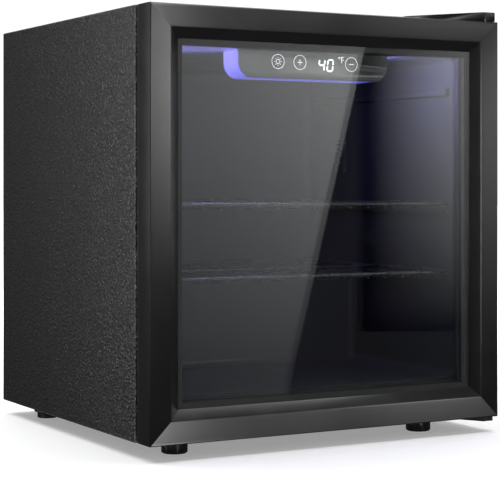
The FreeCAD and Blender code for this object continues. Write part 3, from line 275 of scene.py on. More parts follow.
# %% Embossed steel group
pebbles, arrives, leaves = new_group(
    "Embossed Steel",
    {"Place": ("Vector", None), "Pebble Size": ("Float", 0.0034), "Paint": ("Color", grey(0.007)),
     "Painted Glint": ("Color", grey(0.32))},
    {"Color": "Color", "Roughness": "Float", "Height": "Float"})
bent = add(pebbles, "ShaderNodeTexNoise", {"Vector": scaled(pebbles, arrives["Place"], 0.004),
                                           "Scale": 1.0, "Detail": 2.0})
shift = add(pebbles, "ShaderNodeVectorMath", {0: bent.outputs["Color"], 1: (0.5, 0.5, 0.5)},
            operation="SUBTRACT")
reach = add(pebbles, "ShaderNodeVectorMath", {0: shift.outputs[0], "Scale": 1.1}, operation="SCALE")
cells_at = add(pebbles, "ShaderNodeVectorMath",
               {0: scaled(pebbles, arrives["Place"], arrives["Pebble Size"]), 1: reach.outputs[0]},
               operation="ADD")
cells = add(pebbles, "ShaderNodeTexVoronoi", {"Vector": cells_at.outputs[0], "Scale": 1.0,
                                              "Smoothness": 0.6}, feature="SMOOTH_F1")
dome = remap(pebbles, cells.outputs["Distance"], 0.75, 0.1)
worm = noise(pebbles, arrives["Place"], 0.0024, 3.0, 0.6)
height = math_node(pebbles, "ADD", math_node(pebbles, "MULTIPLY", dome, 0.6),
                   math_node(pebbles, "MULTIPLY", worm, 0.55))
depth_here = add(pebbles, "ShaderNodeSeparateXYZ", {0: arrives["Place"]}).outputs[1]
# Painted light: more glint specks near the door, fewer towards the back, as the light falls off.
painted_glint_falloff = remap(pebbles, depth_here, 0.20, -0.19, -0.08, 0.016)
painted_glint_noise = math_node(pebbles, "ADD", noise(pebbles, arrives["Place"], 0.0010, 1.0, 0.5), painted_glint_falloff)
painted_glint_speck = remap(pebbles, painted_glint_noise, 0.58, 0.65)
# Pale specks on the pebble tops are painted glints; their lower roughness is real gloss.
top = math_node(pebbles, "MULTIPLY", remap(pebbles, height, 0.50, 0.75), painted_glint_speck)
pebbles.links.new(blend(pebbles, top, arrives["Paint"], arrives["Painted Glint"]), leaves["Color"])
pebbles.links.new(remap(pebbles, top, 0.0, 1.0, 0.44, 0.14), leaves["Roughness"])
pebbles.links.new(height, leaves["Height"])
print(pebbles.name, "has", len(pebbles.nodes), "nodes")

# %% [markdown]
# ## The steel as a finish
# The pattern becomes a material: the edges are paler than the paint, partly wear and partly a
# painted highlight along the case's front bend, and the relief is given as a depth of a millimetre or so.

# %% Embossed steel material
embossed_steel, tree, shader, place = finish_material("embossed_black_steel", Coat_Weight=0.0)
skin = use_group(tree, pebbles, {"Place": place})
# Painted highlight and wear: a strong pale edge mask lights the case's front bend.
worn_and_highlit_edge = use_group(tree, edge_wear_and_highlight, {"Place": place, "Edge Width": 0.0022, "Amount": 0.8})
tree.links.new(blend(tree, worn_and_highlit_edge["Mask"], skin["Color"], grey(0.35)), shader.inputs["Base Color"])
tree.links.new(skin["Roughness"], shader.inputs["Roughness"])
use_bump(tree, shader, skin["Height"], 0.0011)
print(embossed_steel.name, "ready")

# %% [markdown]
# ## Paints, plastics and rubber
# Most other pieces are painted sheet or moulded plastic. They share the grain and smear groups and
# differ in colour, gloss and grain size, so one function makes them all.


# %% Moulded finishes
def moulded(name, base, worn_tone, roughness, grain_size=0.0008, depth=0.00004, edge=0.25,
            unevenness=0.1, **shader_values):
    """A moulded or painted finish: grained colour, uneven gloss, slightly worn edges."""
    material, tree, shader, place = finish_material(name, **shader_values)
    skin = use_group(tree, grain, {"Place": place, "Grain Size": grain_size, "Base": base,
                                   "Worn": worn_tone, "Roughness": roughness, "Unevenness": unevenness})
    rubbed = use_group(tree, edge_wear_and_highlight, {"Place": place, "Edge Width": 0.0008, "Amount": edge})
    pale = tuple(min(1.0, channel * 2.2 + 0.02) for channel in base[:3]) + (1.0,)
    tree.links.new(blend(tree, rubbed["Mask"], skin["Color"], pale), shader.inputs["Base Color"])
    tree.links.new(skin["Roughness"], shader.inputs["Roughness"])
    use_bump(tree, shader, skin["Height"], depth)
    return material


frame_paint = moulded("satin_black_frame", grey(0.0034), grey(0.0050), 0.30, 0.0020, 0.000003, 0.2, 0.05,
                      Specular_IOR_Level=0.9, Coat_Weight=0.3, Coat_Roughness=0.12)
sheet_paint = moulded("black_sheet_paint", grey(0.016), grey(0.028), 0.42, 0.0016, 0.00003, 0.35)
thick_steel = moulded("black_dipped_steel", grey(0.014), grey(0.03), 0.38, 0.0012, 0.00003, 0.5)
black_plastic = moulded("grained_black_plastic", grey(0.010), grey(0.018), 0.36, 0.0007, 0.00003)
gloss_plastic = moulded("polished_black_plastic", grey(0.008), grey(0.012), 0.24, 0.0020, 0.000005,
                        0.2, Coat_Weight=0.3, Coat_Roughness=0.10)
inner_plastic = moulded("door_inner_plastic", grey(0.020), grey(0.034), 0.42, 0.0009)
liner_plastic = moulded("formed_liner_plastic", grey(0.018, (0.92, 0.95, 1.1)),
                        grey(0.022, (0.92, 0.95, 1.1)), 0.32, 0.05, 0.0, 0.0, 0.04)
fascia_plastic = moulded("control_fascia_plastic", grey(0.070), grey(0.085), 0.22, 0.0015, 0.000008, 0.1,
                         Coat_Weight=0.4, Coat_Roughness=0.1)
seal_rubber = moulded("soft_seal_rubber", grey(0.022), grey(0.05), 0.62, 0.0005, 0.00004)
mount_rubber = moulded("mount_rubber", grey(0.014), grey(0.04), 0.7, 0.0006, 0.00006)
wire_coating = moulded("black_wire_coating", grey(0.018), grey(0.035), 0.28, 0.0016, 0.00004, 0.2,
                       Coat_Weight=0.3, Coat_Roughness=0.15)
compressor_paint = moulded("compressor_enamel", grey(0.012), grey(0.02), 0.26, 0.0030, 0.00002, 0.3,
                           Coat_Weight=0.4, Coat_Roughness=0.12)
magnet_ferrite = moulded("magnet_ferrite", grey(0.03), grey(0.05), 0.8, 0.0004, 0.00005)
foam_skin = moulded("foam_skin", (0.62, 0.50, 0.28, 1), (0.74, 0.64, 0.42, 1), 0.85, 0.0022, 0.0004)
print("moulded finishes ready")

# %% [markdown]
# ## Metals
# Screws are zinc plated, the glazing spacer and the evaporator are rolled aluminium, and the pipes
# are copper that has dulled in patches. All three are a metal whose colour drifts between clean
# and dull, with scratches that run one way.

# %% Rolled metal group
rolled, arrives, leaves = new_group(
    "Rolled Metal",
    {"Place": ("Vector", None), "Stretch": ("Vector", (1.0, 1.0, 1.0)), "Clean": ("Color", grey(0.6)),
     "Dull": ("Color", grey(0.3)), "Roughness": ("Float", 0.3)},
    {"Color": "Color", "Roughness": "Float", "Height": "Float"})
along = add(rolled, "ShaderNodeVectorMath", {0: arrives["Place"], 1: arrives["Stretch"]},
            operation="MULTIPLY")
lines = noise(rolled, along.outputs[0], 0.0006, 2.0, 0.6)
patch = remap(rolled, noise(rolled, arrives["Place"], 0.02, 4.0, 0.65), 0.4, 0.7)
rolled.links.new(blend(rolled, patch, arrives["Clean"], arrives["Dull"]), leaves["Color"])
uneven = math_node(rolled, "ADD", math_node(rolled, "MULTIPLY", patch, 0.2),
                   math_node(rolled, "MULTIPLY", lines, 0.12))
rolled.links.new(math_node(rolled, "ADD", arrives["Roughness"], uneven), leaves["Roughness"])
rolled.links.new(lines, leaves["Height"])
print(rolled.name, "has", len(rolled.nodes), "nodes")


# %% [markdown]
# ## Bare metals
# Each metal is two colours, clean and dull, and a direction in which it was rolled. One function
# makes them all, because only these values differ.

# %% Metal finishes
def metal(name, clean, dull, roughness, stretch=(1.0, 1.0, 1.0)):
    """A bare metal with dull patches and fine rolling lines."""
    material, tree, shader, place = finish_material(name, Metallic=1.0)
    skin = use_group(tree, rolled, {"Place": place, "Stretch": stretch, "Clean": clean, "Dull": dull,
                                    "Roughness": roughness})
    tree.links.new(skin["Color"], shader.inputs["Base Color"])
    tree.links.new(skin["Roughness"], shader.inputs["Roughness"])
    use_bump(tree, shader, skin["Height"], 0.00001)
    return material


zinc = metal("bright_zinc", grey(0.62, (1.0, 0.99, 0.95)), grey(0.38), 0.2)
rolled_aluminium = metal("rolled_aluminium", grey(0.66), grey(0.5), 0.25, (1.0, 1.0, 0.05))
copper = metal("pipe_copper", (0.78, 0.36, 0.20, 1), (0.32, 0.13, 0.07, 1), 0.18)
motor_iron = metal("motor_iron", grey(0.28), grey(0.14), 0.4)
print("metal finishes ready")

# %% [markdown]
# ## Glass and the print on it
# The door has two clear panes with a gas gap. Real glass reflects a few percent of the studio and
# lets the rest through. Light rays would be lost in refraction, so shadow rays see a plain
# transparent pane: the light path test stands in the material itself. A black ceramic print
# frames the pane and hides the spacer.

# %% Clear glass
pane_glass, tree, shader, place = finish_material("clear_pane_glass", Base_Color=(0.97, 0.985, 0.98, 1),
                                                  Transmission_Weight=1.0, IOR=1.45, Metallic=0.0)
touched = use_group(tree, smears, {"Place": place, "Smear Size": 0.09, "Roughness": 0.006, "Spread": 0.012})
tree.links.new(touched["Roughness"], shader.inputs["Roughness"])
see_through = add(tree, "ShaderNodeBsdfTransparent", {"Color": (0.92, 0.94, 0.93, 1)})
light_path = add(tree, "ShaderNodeLightPath")
either = add(tree, "ShaderNodeMixShader", {0: light_path.outputs["Is Shadow Ray"], 1: shader.outputs[0],
                                           2: see_through.outputs[0]})
use_surface(tree, either.outputs[0])
ceramic_print = moulded("black_ceramic_print", grey(0.016), grey(0.022), 0.5, 0.0006, 0.000004, 0.0)
print(pane_glass.name, "and", ceramic_print.name, "ready")

# %% [markdown]
# ## Things that glow
# A blue-violet lamp sits behind the control unit and shines through its clear casing, so the
# casing's edges are lit; that light on the casing is painted, as an emission of the casing itself.
# The legends on the fascia are printed windows over white lamps. Glow is never even: it falls off
# away from the lamp, which a gradient on the piece's own place gives, and on the casing that
# falloff is painted light too.

# %% Lamp and casing glow
lamp_low, lamp_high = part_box("lamp_lens")
lamp_middle = (lamp_low + lamp_high) / 2


def glowing(name, colour, dim, strength, base, falloff):
    """A clear plastic that glows most near the lamp; on the casing the glow is painted lamp light."""
    material, tree, shader, place = finish_material(name, Base_Color=base, Roughness=0.25)
    away = add(tree, "ShaderNodeVectorMath", {0: place, 1: tuple(lamp_middle)}, operation="SUBTRACT")
    along_lamp = (0.15, 1.0, 1.0)  # the lamp is a long bar, so distance along X counts for little
    flat = add(tree, "ShaderNodeVectorMath", {0: away.outputs[0], 1: along_lamp}, operation="MULTIPLY")
    distance = add(tree, "ShaderNodeVectorMath", {0: flat.outputs[0]}, operation="LENGTH").outputs["Value"]
    near = remap(tree, distance, falloff, 0.0)
    patches = remap(tree, noise(tree, place, 0.012, 3.0), 0.2, 0.7, 0.8, 1.0)
    mottled = math_node(tree, "MULTIPLY", near, patches)
    tree.links.new(blend(tree, mottled, dim, colour), shader.inputs["Emission Color"])
    shader.inputs["Emission Strength"].default_value = strength
    use_bump(tree, shader, noise(tree, place, 0.002), 0.00002)
    return material


lamp_glow = glowing("lamp_glow", (0.42, 0.42, 1.0, 1), (0.20, 0.18, 0.9, 1), 2.2, (0.3, 0.3, 0.9, 1), 0.05)
# Painted light: the casing is no lamp; its emission stands in for the lamp behind it.
casing_painted_lamp_light = glowing("casing_painted_lamp_light", (0.22, 0.20, 0.95, 1), (0.05, 0.045, 0.35, 1), 1.0,
                      (0.10, 0.10, 0.22, 1), 0.06)
legend_glow, tree, shader, place = finish_material("legend_glow", Base_Color=(0.8, 0.8, 0.8, 1),
                                                   Roughness=0.4)
lit = blend(tree, remap(tree, noise(tree, place, 0.003, 2.0), 0.3, 0.7), (0.82, 0.86, 0.95, 1), (1, 1, 1, 1))
tree.links.new(lit, shader.inputs["Emission Color"])
shader.inputs["Emission Strength"].default_value = 1.3
print("glowing finishes ready")

# %% [markdown]
# ## Circuit boards
# The boards are green laminate with copper tracks and tinned pads. They are hidden in the
# closed fridge, so a brick pattern for tracks and round cells for pads are enough.

# %% Circuit board
board, tree, shader, place = finish_material("green_circuit_board", Coat_Weight=0.3, Coat_Roughness=0.2)
tracks = add(tree, "ShaderNodeTexBrick", {"Vector": scaled(tree, place, 0.012), "Scale": 1.0,
                                          "Mortar Size": 0.06, "Color1": (0.01, 0.10, 0.03, 1),
                                          "Color2": (0.012, 0.13, 0.04, 1), "Mortar": (0.45, 0.25, 0.08, 1)})
pads = remap(tree, add(tree, "ShaderNodeTexVoronoi", {"Vector": scaled(tree, place, 0.004),
                                                      "Scale": 1.0}).outputs["Distance"], 0.22, 0.18)
tree.links.new(blend(tree, pads, tracks.outputs["Color"], grey(0.55)), shader.inputs["Base Color"])
tree.links.new(remap(tree, pads, 0.0, 1.0, 0.45, 0.2), shader.inputs["Roughness"])
print(board.name, "ready")

# %% [markdown]
# ## Helpers for shapes
# A piece is built as a mesh from points, in its real place, with its object left at the origin.
# Faces that meet gently are shaded smooth and sharp folds stay crisp.


# %% Mesh helpers
def finished_piece(name, mesh, material, body, replaced=(), smooth_angle=30):
    """Puts a mesh in the scene: finish, smooth shading, the body it rides on, what it stands for."""
    mesh.materials.clear()
    mesh.materials.append(material)
    mesh.shade_smooth()
    mesh.set_sharp_from_angle(angle=math.radians(smooth_angle))
    piece = bpy.data.objects.new(name, mesh)
    scene.collection.objects.link(piece)
    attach(piece, body)
    if replaced:
        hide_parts(*replaced)
    return piece


def mesh_from(shape, name):
    """A mesh from a bmesh, with its normals made to point outwards."""
    bmesh.ops.recalc_face_normals(shape, faces=shape.faces)
    mesh = bpy.data.meshes.new(name)
    shape.to_mesh(mesh)
    shape.free()
    return mesh


def baked(piece_mesh, modifiers):
    """The mesh as it is after some modifiers, each given as (kind, options)."""
    carrier = bpy.data.objects.new("carrier", piece_mesh)
    scene.collection.objects.link(carrier)
    for kind, options in modifiers:
        modifier = carrier.modifiers.new(kind.title(), kind)
        for option, value in options.items():
            setattr(modifier, option, value)
    graph = bpy.context.evaluated_depsgraph_get()
    result = bpy.data.meshes.new_from_object(carrier.evaluated_get(graph))
    bpy.data.objects.remove(carrier)
    return result


def fillet(corners, steps=5):
    """A closed outline with rounded corners; each corner is (across, back, radius)."""
    outline = []
    for index, (across, back, radius) in enumerate(corners):
        here = Vector((across, back))
        before = (Vector(corners[index - 1][:2]) - here).normalized()
        after = (Vector(corners[(index + 1) % len(corners)][:2]) - here).normalized()
        if radius == 0:
            outline.append(here)
            continue
        half = math.acos(max(-1.0, min(1.0, before.dot(after)))) / 2
        centre = here + (before + after).normalized() * radius / math.sin(half)
        start = here + before * radius / math.tan(half) - centre
        end = here + after * radius / math.tan(half) - centre
        first = math.atan2(start.y, start.x)
        turn = (math.atan2(end.y, end.x) - first + math.pi) % math.tau - math.pi
        for step in range(steps + 1):
            angle = first + turn * step / steps
            outline.append(centre + Vector((math.cos(angle), math.sin(angle))) * radius)
    return outline


def refined_copy(node, material, body, bevel):
    """A CAD shape merged into one clean surface, with its hard edges rounded a little."""
    shape = bmesh.new()
    shape.from_mesh(nodes[node].data)
    bmesh.ops.remove_doubles(shape, verts=shape.verts, dist=MERGE_DISTANCE)
    bmesh.ops.dissolve_limit(shape, angle_limit=math.radians(FLAT_ANGLE), verts=shape.verts,
                             edges=shape.edges)
    mesh = mesh_from(shape, node + "_surface")
    if bevel:
        mesh = baked(mesh, [("BEVEL", {"width": bevel, "segments": 2, "limit_method": "ANGLE",
                                       "angle_limit": math.radians(50), "harden_normals": True})])
    return finished_piece(node + "_skin", mesh, material, body, (node,), 32)


print("mesh helpers ready")

# %% [markdown]
# ## The door frame
# The door is framed by four bars of one moulded profile, cut at 45 degrees and keyed together.
# The front face is slightly crowned and ends in a soft crest, then slopes steeply down to the
# glass. A bar is its outline drawn once, closed round a hollow chamber, and stretched between two
# slanted ends. A hair of a gap at each mitre shows the joint, as it does on the real door.

# %% Profile of a door bar
# Each corner is: distance in from the door's edge, distance back from its front, corner radius.
bar_corners = [(0, 1.1, 0.3), (1.1, 0, 0.3), (3.2, 0.04, 12), (9, 0.10, 0), (14.5, 0.20, 0),
               (20, 0.36, 0), (25.5, 0.60, 4.0), (37.25, 7.0, 0.3), (37.25, 7.8, 0.2),
               (28.0, 7.8, 0), (28.0, 31, 0.2), (0, 31, 0.8)]
chamber_corners = [(2, 2.96, 0.5), (26, 4.6, 0.5), (26, 29, 0.5), (2, 29, 0.5)]
bar_outline = fillet([tuple(value * MM for value in corner) for corner in bar_corners], 6)
chamber_outline = fillet([tuple(value * MM for value in corner) for corner in chamber_corners], 3)
door_low, door_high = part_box("door_left_stile")
door_high = Vector((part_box("door_right_stile")[1].x, door_high.y, door_high.z))
print("bar outline:", len(bar_outline), "points; door", round(door_high.x - door_low.x, 4), "wide")


# %% [markdown]
# ## Bars with slanted ends
# A real bar is extruded and sawn at 45 degrees. Here the outline is placed at both ends and
# each point stops as far short as it lies inwards, which gives the mitre. Right, top and
# bottom bars are then drilled for the bushes of the hinge pins.

# %% Stretch the profile into four mitred bars
def bar_point(side, inset, back, at_end, gap):
    """A point of a bar: side names the bar, at_end is 0 or 1 along it."""
    depth = door_low.y + back
    shrink = inset + gap
    if side in ("left", "right"):
        across = door_low.x + inset if side == "left" else door_high.x - inset
        up = door_high.z - shrink if at_end else door_low.z + shrink
        return Vector((across, depth, up))
    up = door_low.z + inset if side == "bottom" else door_high.z - inset
    across = door_high.x - shrink if at_end else door_low.x + shrink
    return Vector((across, depth, up))


def door_bar(side, gap=0.06 * MM):
    """One hollow bar of the door with slanted ends."""
    shape = bmesh.new()
    end_edges = ([], [])
    for outline in (bar_outline, chamber_outline):
        rings = [[shape.verts.new(bar_point(side, inset, back, end, gap)) for inset, back in outline]
                 for end in (0, 1)]
        for index in range(len(outline)):
            following = (index + 1) % len(outline)
            shape.faces.new((rings[0][index], rings[0][following], rings[1][following], rings[1][index]))
            for end in (0, 1):
                end_edges[end].append(shape.edges.get((rings[end][index], rings[end][following])))
    for edges in end_edges:
        bmesh.ops.triangle_fill(shape, use_beauty=True, use_dissolve=False, edges=edges)
    return mesh_from(shape, side + "_bar")


def bored(mesh, x, y, radius, low, high):
    """The mesh with an upright round hole through it."""
    drill = bmesh.new()
    bmesh.ops.create_cone(drill, cap_ends=True, segments=48, radius1=radius, radius2=radius,
                          depth=high - low, matrix=Matrix.Translation((x, y, (low + high) / 2)))
    cutter = bpy.data.objects.new("drill", mesh_from(drill, "drill"))
    scene.collection.objects.link(cutter)
    result = baked(mesh, [("BOOLEAN", {"operation": "DIFFERENCE", "object": cutter, "solver": "EXACT"})])
    bpy.data.objects.remove(cutter)
    return result


bush_low, bush_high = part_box("lower_bush")
pivot = (bush_low + bush_high) / 2
slack = 0.02 * MM
bush_hole = (bush_high.x - bush_low.x) / 2 + slack
bushes_in = {"left": (), "right": ("lower_bush", "upper_bush"), "top": ("upper_bush",),
             "bottom": ("lower_bush",)}
hole_past = {"lower_bush": (1 * MM, slack), "upper_bush": (slack, 1 * MM)}
for side, node in (("left", "door_left_stile"), ("right", "door_right_stile"),
                   ("top", "door_top_rail"), ("bottom", "door_bottom_rail")):
    mesh = baked(door_bar(side), [("BEVEL", {"width": 0.16 * MM, "segments": 2, "limit_method": "ANGLE",
                                             "angle_limit": math.radians(40)})])
    for bush in bushes_in[side]:
        low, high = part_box(bush)
        below, above = hole_past[bush]
        mesh = bored(mesh, pivot.x, pivot.y, bush_hole, low.z - below, high.z + above)
    finished_piece("door_bar_" + side, mesh, frame_paint, "door", (node,), 25)
    print("door bar", side, len(mesh.polygons), "faces")


# %% [markdown]
# ## Rings that follow the door
# The seal, and the black print round the pane, are one section that runs round a rectangle and
# meets itself at square corners, as a welded door seal does. A ring joins the section's points
# from corner to corner, so it closes on itself without a seam.


# %% Ring helper
def door_ring(outlines, name):
    """Sections (inset, depth) swept round the door; a second section is a closed hollow inside."""
    shape = bmesh.new()
    for number, outline in enumerate(outlines):
        rows = []
        for right, upper in ((0, 0), (1, 0), (1, 1), (0, 1)):
            rows.append([shape.verts.new((door_high.x - inset if right else door_low.x + inset, depth,
                                          door_high.z - inset if upper else door_low.z + inset))
                         for inset, depth in outline])
        faces = []
        for corner in range(4):
            here, there = rows[corner], rows[(corner + 1) % 4]
            for index in range(len(outline)):
                following = (index + 1) % len(outline)
                faces.append(shape.faces.new((here[index], here[following], there[following], there[index])))
        bmesh.ops.recalc_face_normals(shape, faces=faces)
        if number:
            bmesh.ops.reverse_faces(shape, faces=faces)
    mesh = bpy.data.meshes.new(name)
    shape.to_mesh(mesh)
    shape.free()
    return mesh


# %% [markdown]
# ## Seal
# The seal is soft rubber with a root pushed into the door, two grooves in its face and a pocket
# for the magnet strip. The pocket is drawn round the CAD magnet with a little play.

# %% Door seal
seal_low, seal_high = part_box("door_seal")
magnet_low, magnet_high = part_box("seal_magnets")
lip = (seal_high.y - door_low.y) / MM
root = (seal_low.y - door_low.y) / MM
seal_corners = [(10, root + 2, 0.5), (10, lip, 1.1), (11.6, lip, 0.2), (12.0, lip - 0.5, 0.2),
                (12.5, lip, 0.2), (21.5, lip, 0.2), (22.0, lip - 0.5, 0.2), (22.4, lip, 0.2),
                (24, lip, 1.1), (24, root + 2, 0.5), (19, root + 2, 0), (19, root, 0.3), (15, root, 0.3),
                (15, root + 2, 0)]
seal_section = [Vector((point.x, door_low.y + point.y)) for point in
                fillet([(a * MM, b * MM, r * MM) for a, b, r in seal_corners], 4)]
play, magnet_width = 0.05 * MM, 8 * MM
pocket_near = magnet_low.x - door_low.x - play
pocket_far = magnet_low.x - door_low.x + magnet_width + play
pocket = [(pocket_near, magnet_low.y - play), (pocket_far, magnet_low.y - play),
          (pocket_far, magnet_high.y + play), (pocket_near, magnet_high.y + play)]
seal_mesh = door_ring([seal_section, pocket], "seal")
finished_piece("bellows_seal", seal_mesh, seal_rubber, "door", ("door_seal",), 40)
print("seal section:", len(seal_section), "points")

# %% [markdown]
# ## Ceramic print
# The border of the pane is black enamel fired on the inner side of the glass. It hides the
# spacer and the glue, and is only a few hundredths of a millimetre thick.

# %% Ceramic print on the back of the outer pane
pane_low, pane_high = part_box("outer_glass")
window_edge = 44 * MM
print_back = pane_high.y - 0.03 * MM
print_front = pane_high.y - 0.08 * MM
pane_edge = pane_low.x - door_low.x + 0.1 * MM
print_mesh = door_ring([[(pane_edge, print_front), (window_edge, print_front),
                         (window_edge, print_back), (pane_edge, print_back)]], "print")
finished_piece("pane_border_print", print_mesh, ceramic_print, "door")
print("print is", round((window_edge - pane_edge) / MM, 1), "mm wide")

# %% [markdown]
# ## Geometry Nodes for what repeats
# Screws, bolts and the rods of the wire shelves are the same shape many times, placed by a rule.
# Each tree has named sizes, so one tree serves several pieces. The result is made a plain mesh
# and the tree is taken off again, because the finished piece is only its faces.


# %% Geometry Nodes helpers
def new_shape_tree(name, inputs):
    """A Geometry Nodes tree with a geometry input and output and named sizes."""
    tree = bpy.data.node_groups.new(name, "GeometryNodeTree")
    tree.interface.new_socket("Geometry", in_out="INPUT", socket_type="NodeSocketGeometry")
    tree.interface.new_socket("Geometry", in_out="OUTPUT", socket_type="NodeSocketGeometry")
    for label, (kind, value) in inputs.items():
        socket = tree.interface.new_socket(label, in_out="INPUT", socket_type="NodeSocket" + kind)
        socket.default_value = value
    return tree, tree.nodes.new("NodeGroupInput").outputs, tree.nodes.new("NodeGroupOutput").inputs


def finish_tree(tree, geometry, material, leaves):
    """Ends a tree: instances made real, one material."""
    real = add(tree, "GeometryNodeRealizeInstances", {0: geometry})
    coloured = add(tree, "GeometryNodeSetMaterial", {0: real.outputs[0], "Material": material})
    tree.links.new(coloured.outputs[0], leaves["Geometry"])


def joined(tree, *parts):
    """Several geometries as one."""
    node = tree.nodes.new("GeometryNodeJoinGeometry")
    for part in parts:
        tree.links.new(part, node.inputs[0])
    return node.outputs[0]


def combine(tree, x=0.0, y=0.0, z=0.0):
    """A vector from three numbers or sockets."""
    return add(tree, "ShaderNodeCombineXYZ", {0: x, 1: y, 2: z}).outputs[0]


def raised(tree, geometry, height, share, scale=(1.0, 1.0, 1.0)):
    """A geometry moved up by a share of a height."""
    up = combine(tree, z=math_node(tree, "MULTIPLY", height, share))
    return add(tree, "GeometryNodeTransform",
               {"Geometry": geometry, "Translation": up, "Scale": scale}).outputs[0]


def grown(name, tree, points, sizes):
    """The plain mesh that a tree makes at some points with named sizes."""
    start = bpy.data.meshes.new(name)
    start.from_pydata(points, [], [])
    carrier = bpy.data.objects.new(name, start)
    scene.collection.objects.link(carrier)
    modifier = carrier.modifiers.new("shape", "NODES")
    modifier.node_group = tree
    for socket in tree.interface.items_tree:
        if socket.in_out == "INPUT" and socket.name in sizes:
            modifier[socket.identifier] = sizes[socket.name]
    graph = bpy.context.evaluated_depsgraph_get()
    mesh = bpy.data.meshes.new_from_object(carrier.evaluated_get(graph))
    carrier.modifiers.remove(modifier)
    bpy.data.objects.remove(carrier)
    print(name, "grown:", len(mesh.vertices), "points,", len(mesh.polygons), "faces")
    return mesh


# %% [markdown]
# ## Wire shelves
# A shelf is a loop of thick wire with thin rods welded under it and a brace across it, all dipped
# in black plastic. The tree rounds the loop's corners, repeats the rod at a fixed pitch and closes
# the rods' ends.

# %% Wire shelf tree
wire_shelf, arrives, leaves = new_shape_tree(
    "Wire Shelf",
    {"Width": ("Float", 0.39), "Depth": ("Float", 0.33), "Corner Radius": ("Float", 0.014),
     "Wire Radius": ("Float", 0.00275), "Rod Radius": ("Float", 0.0016), "Rod Pitch": ("Float", 0.025),
     "Rod Count": ("Int", 15), "Rod Drop": ("Float", 0.00385), "Centre": ("Vector", (0.0, 0.0, 0.0))})
loop = add(wire_shelf, "GeometryNodeCurvePrimitiveQuadrilateral",
           {"Width": arrives["Width"], "Height": arrives["Depth"]})
bent_loop = add(wire_shelf, "GeometryNodeFilletCurve",
                {"Curve": loop.outputs[0], "Count": 8, "Radius": arrives["Corner Radius"]}, mode="POLY")
wire_round = add(wire_shelf, "GeometryNodeCurvePrimitiveCircle",
                 {"Resolution": 14, "Radius": arrives["Wire Radius"]})
wire = add(wire_shelf, "GeometryNodeCurveToMesh",
           {"Curve": bent_loop.outputs[0], "Profile Curve": wire_round.outputs[0]})
half_depth = math_node(wire_shelf, "MULTIPLY", arrives["Depth"], 0.5)
rod_line = add(wire_shelf, "GeometryNodeCurvePrimitiveLine",
               {"Start": combine(wire_shelf, 0.0, math_node(wire_shelf, "MULTIPLY", half_depth, -1.0)),
                "End": combine(wire_shelf, 0.0, half_depth)})
rod_round = add(wire_shelf, "GeometryNodeCurvePrimitiveCircle",
                {"Resolution": 12, "Radius": arrives["Rod Radius"]})
rod = add(wire_shelf, "GeometryNodeCurveToMesh",
          {"Curve": rod_line.outputs[0], "Profile Curve": rod_round.outputs[0], "Fill Caps": True})
last = math_node(wire_shelf, "SUBTRACT", arrives["Rod Count"], 1.0)
row_width = math_node(wire_shelf, "MULTIPLY", last, arrives["Rod Pitch"])
first_x = math_node(wire_shelf, "MULTIPLY", row_width, -0.5)
row = add(wire_shelf, "GeometryNodeMeshLine",
          {"Count": arrives["Rod Count"],
           "Start Location": combine(wire_shelf, first_x, 0.0,
                                     math_node(wire_shelf, "MULTIPLY", arrives["Rod Drop"], -1.0)),
           "Offset": combine(wire_shelf, arrives["Rod Pitch"])})
rods = add(wire_shelf, "GeometryNodeInstanceOnPoints",
           {"Points": row.outputs[0], "Instance": rod.outputs[0]})
half_width = math_node(wire_shelf, "MULTIPLY", arrives["Width"], 0.5)
brace_line = add(wire_shelf, "GeometryNodeCurvePrimitiveLine",
                 {"Start": combine(wire_shelf, math_node(wire_shelf, "MULTIPLY", half_width, -1.0)),
                  "End": combine(wire_shelf, half_width)})
brace = add(wire_shelf, "GeometryNodeCurveToMesh",
            {"Curve": brace_line.outputs[0], "Profile Curve": rod_round.outputs[0], "Fill Caps": True})
whole = joined(wire_shelf, wire.outputs[0], rods.outputs[0], brace.outputs[0])
moved = add(wire_shelf, "GeometryNodeTransform", {"Geometry": whole, "Translation": arrives["Centre"]})
finish_tree(wire_shelf, moved.outputs[0], wire_coating, leaves)
print(wire_shelf.name, "has", len(wire_shelf.nodes), "nodes")

# %% [markdown]
# ## Both shelves
# The shelves are the same tree twice, sized and placed from the boxes of their CAD nodes.

# %% Two shelves
wire_radius, rod_radius, sunk = 2.75 * MM, 1.6 * MM, 0.5 * MM
for shelf in ("upper_shelf", "lower_shelf"):
    low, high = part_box(shelf)
    centre = Vector(((low.x + high.x) / 2, (low.y + high.y) / 2, high.z - wire_radius))
    mesh = grown(shelf, wire_shelf, [(0, 0, 0)],
                 {"Width": high.x - low.x - 2 * wire_radius, "Depth": high.y - low.y - 2 * wire_radius,
                  "Wire Radius": wire_radius, "Rod Radius": rod_radius,
                  "Rod Drop": wire_radius + rod_radius - sunk, "Centre": tuple(centre)})
    finished_piece(shelf + "_wires", mesh, wire_coating, shelf, (shelf,), 40)

# %% [markdown]
# ## Screws and bolts
# A pan-head screw is a flattened ball with a cross pressed into it. The ball is made boxier by
# raising its height and width to powers below one, and two crossed bars cut the recess. Each
# screw is turned by its own seeded angle, because no fitter lines the crosses up.

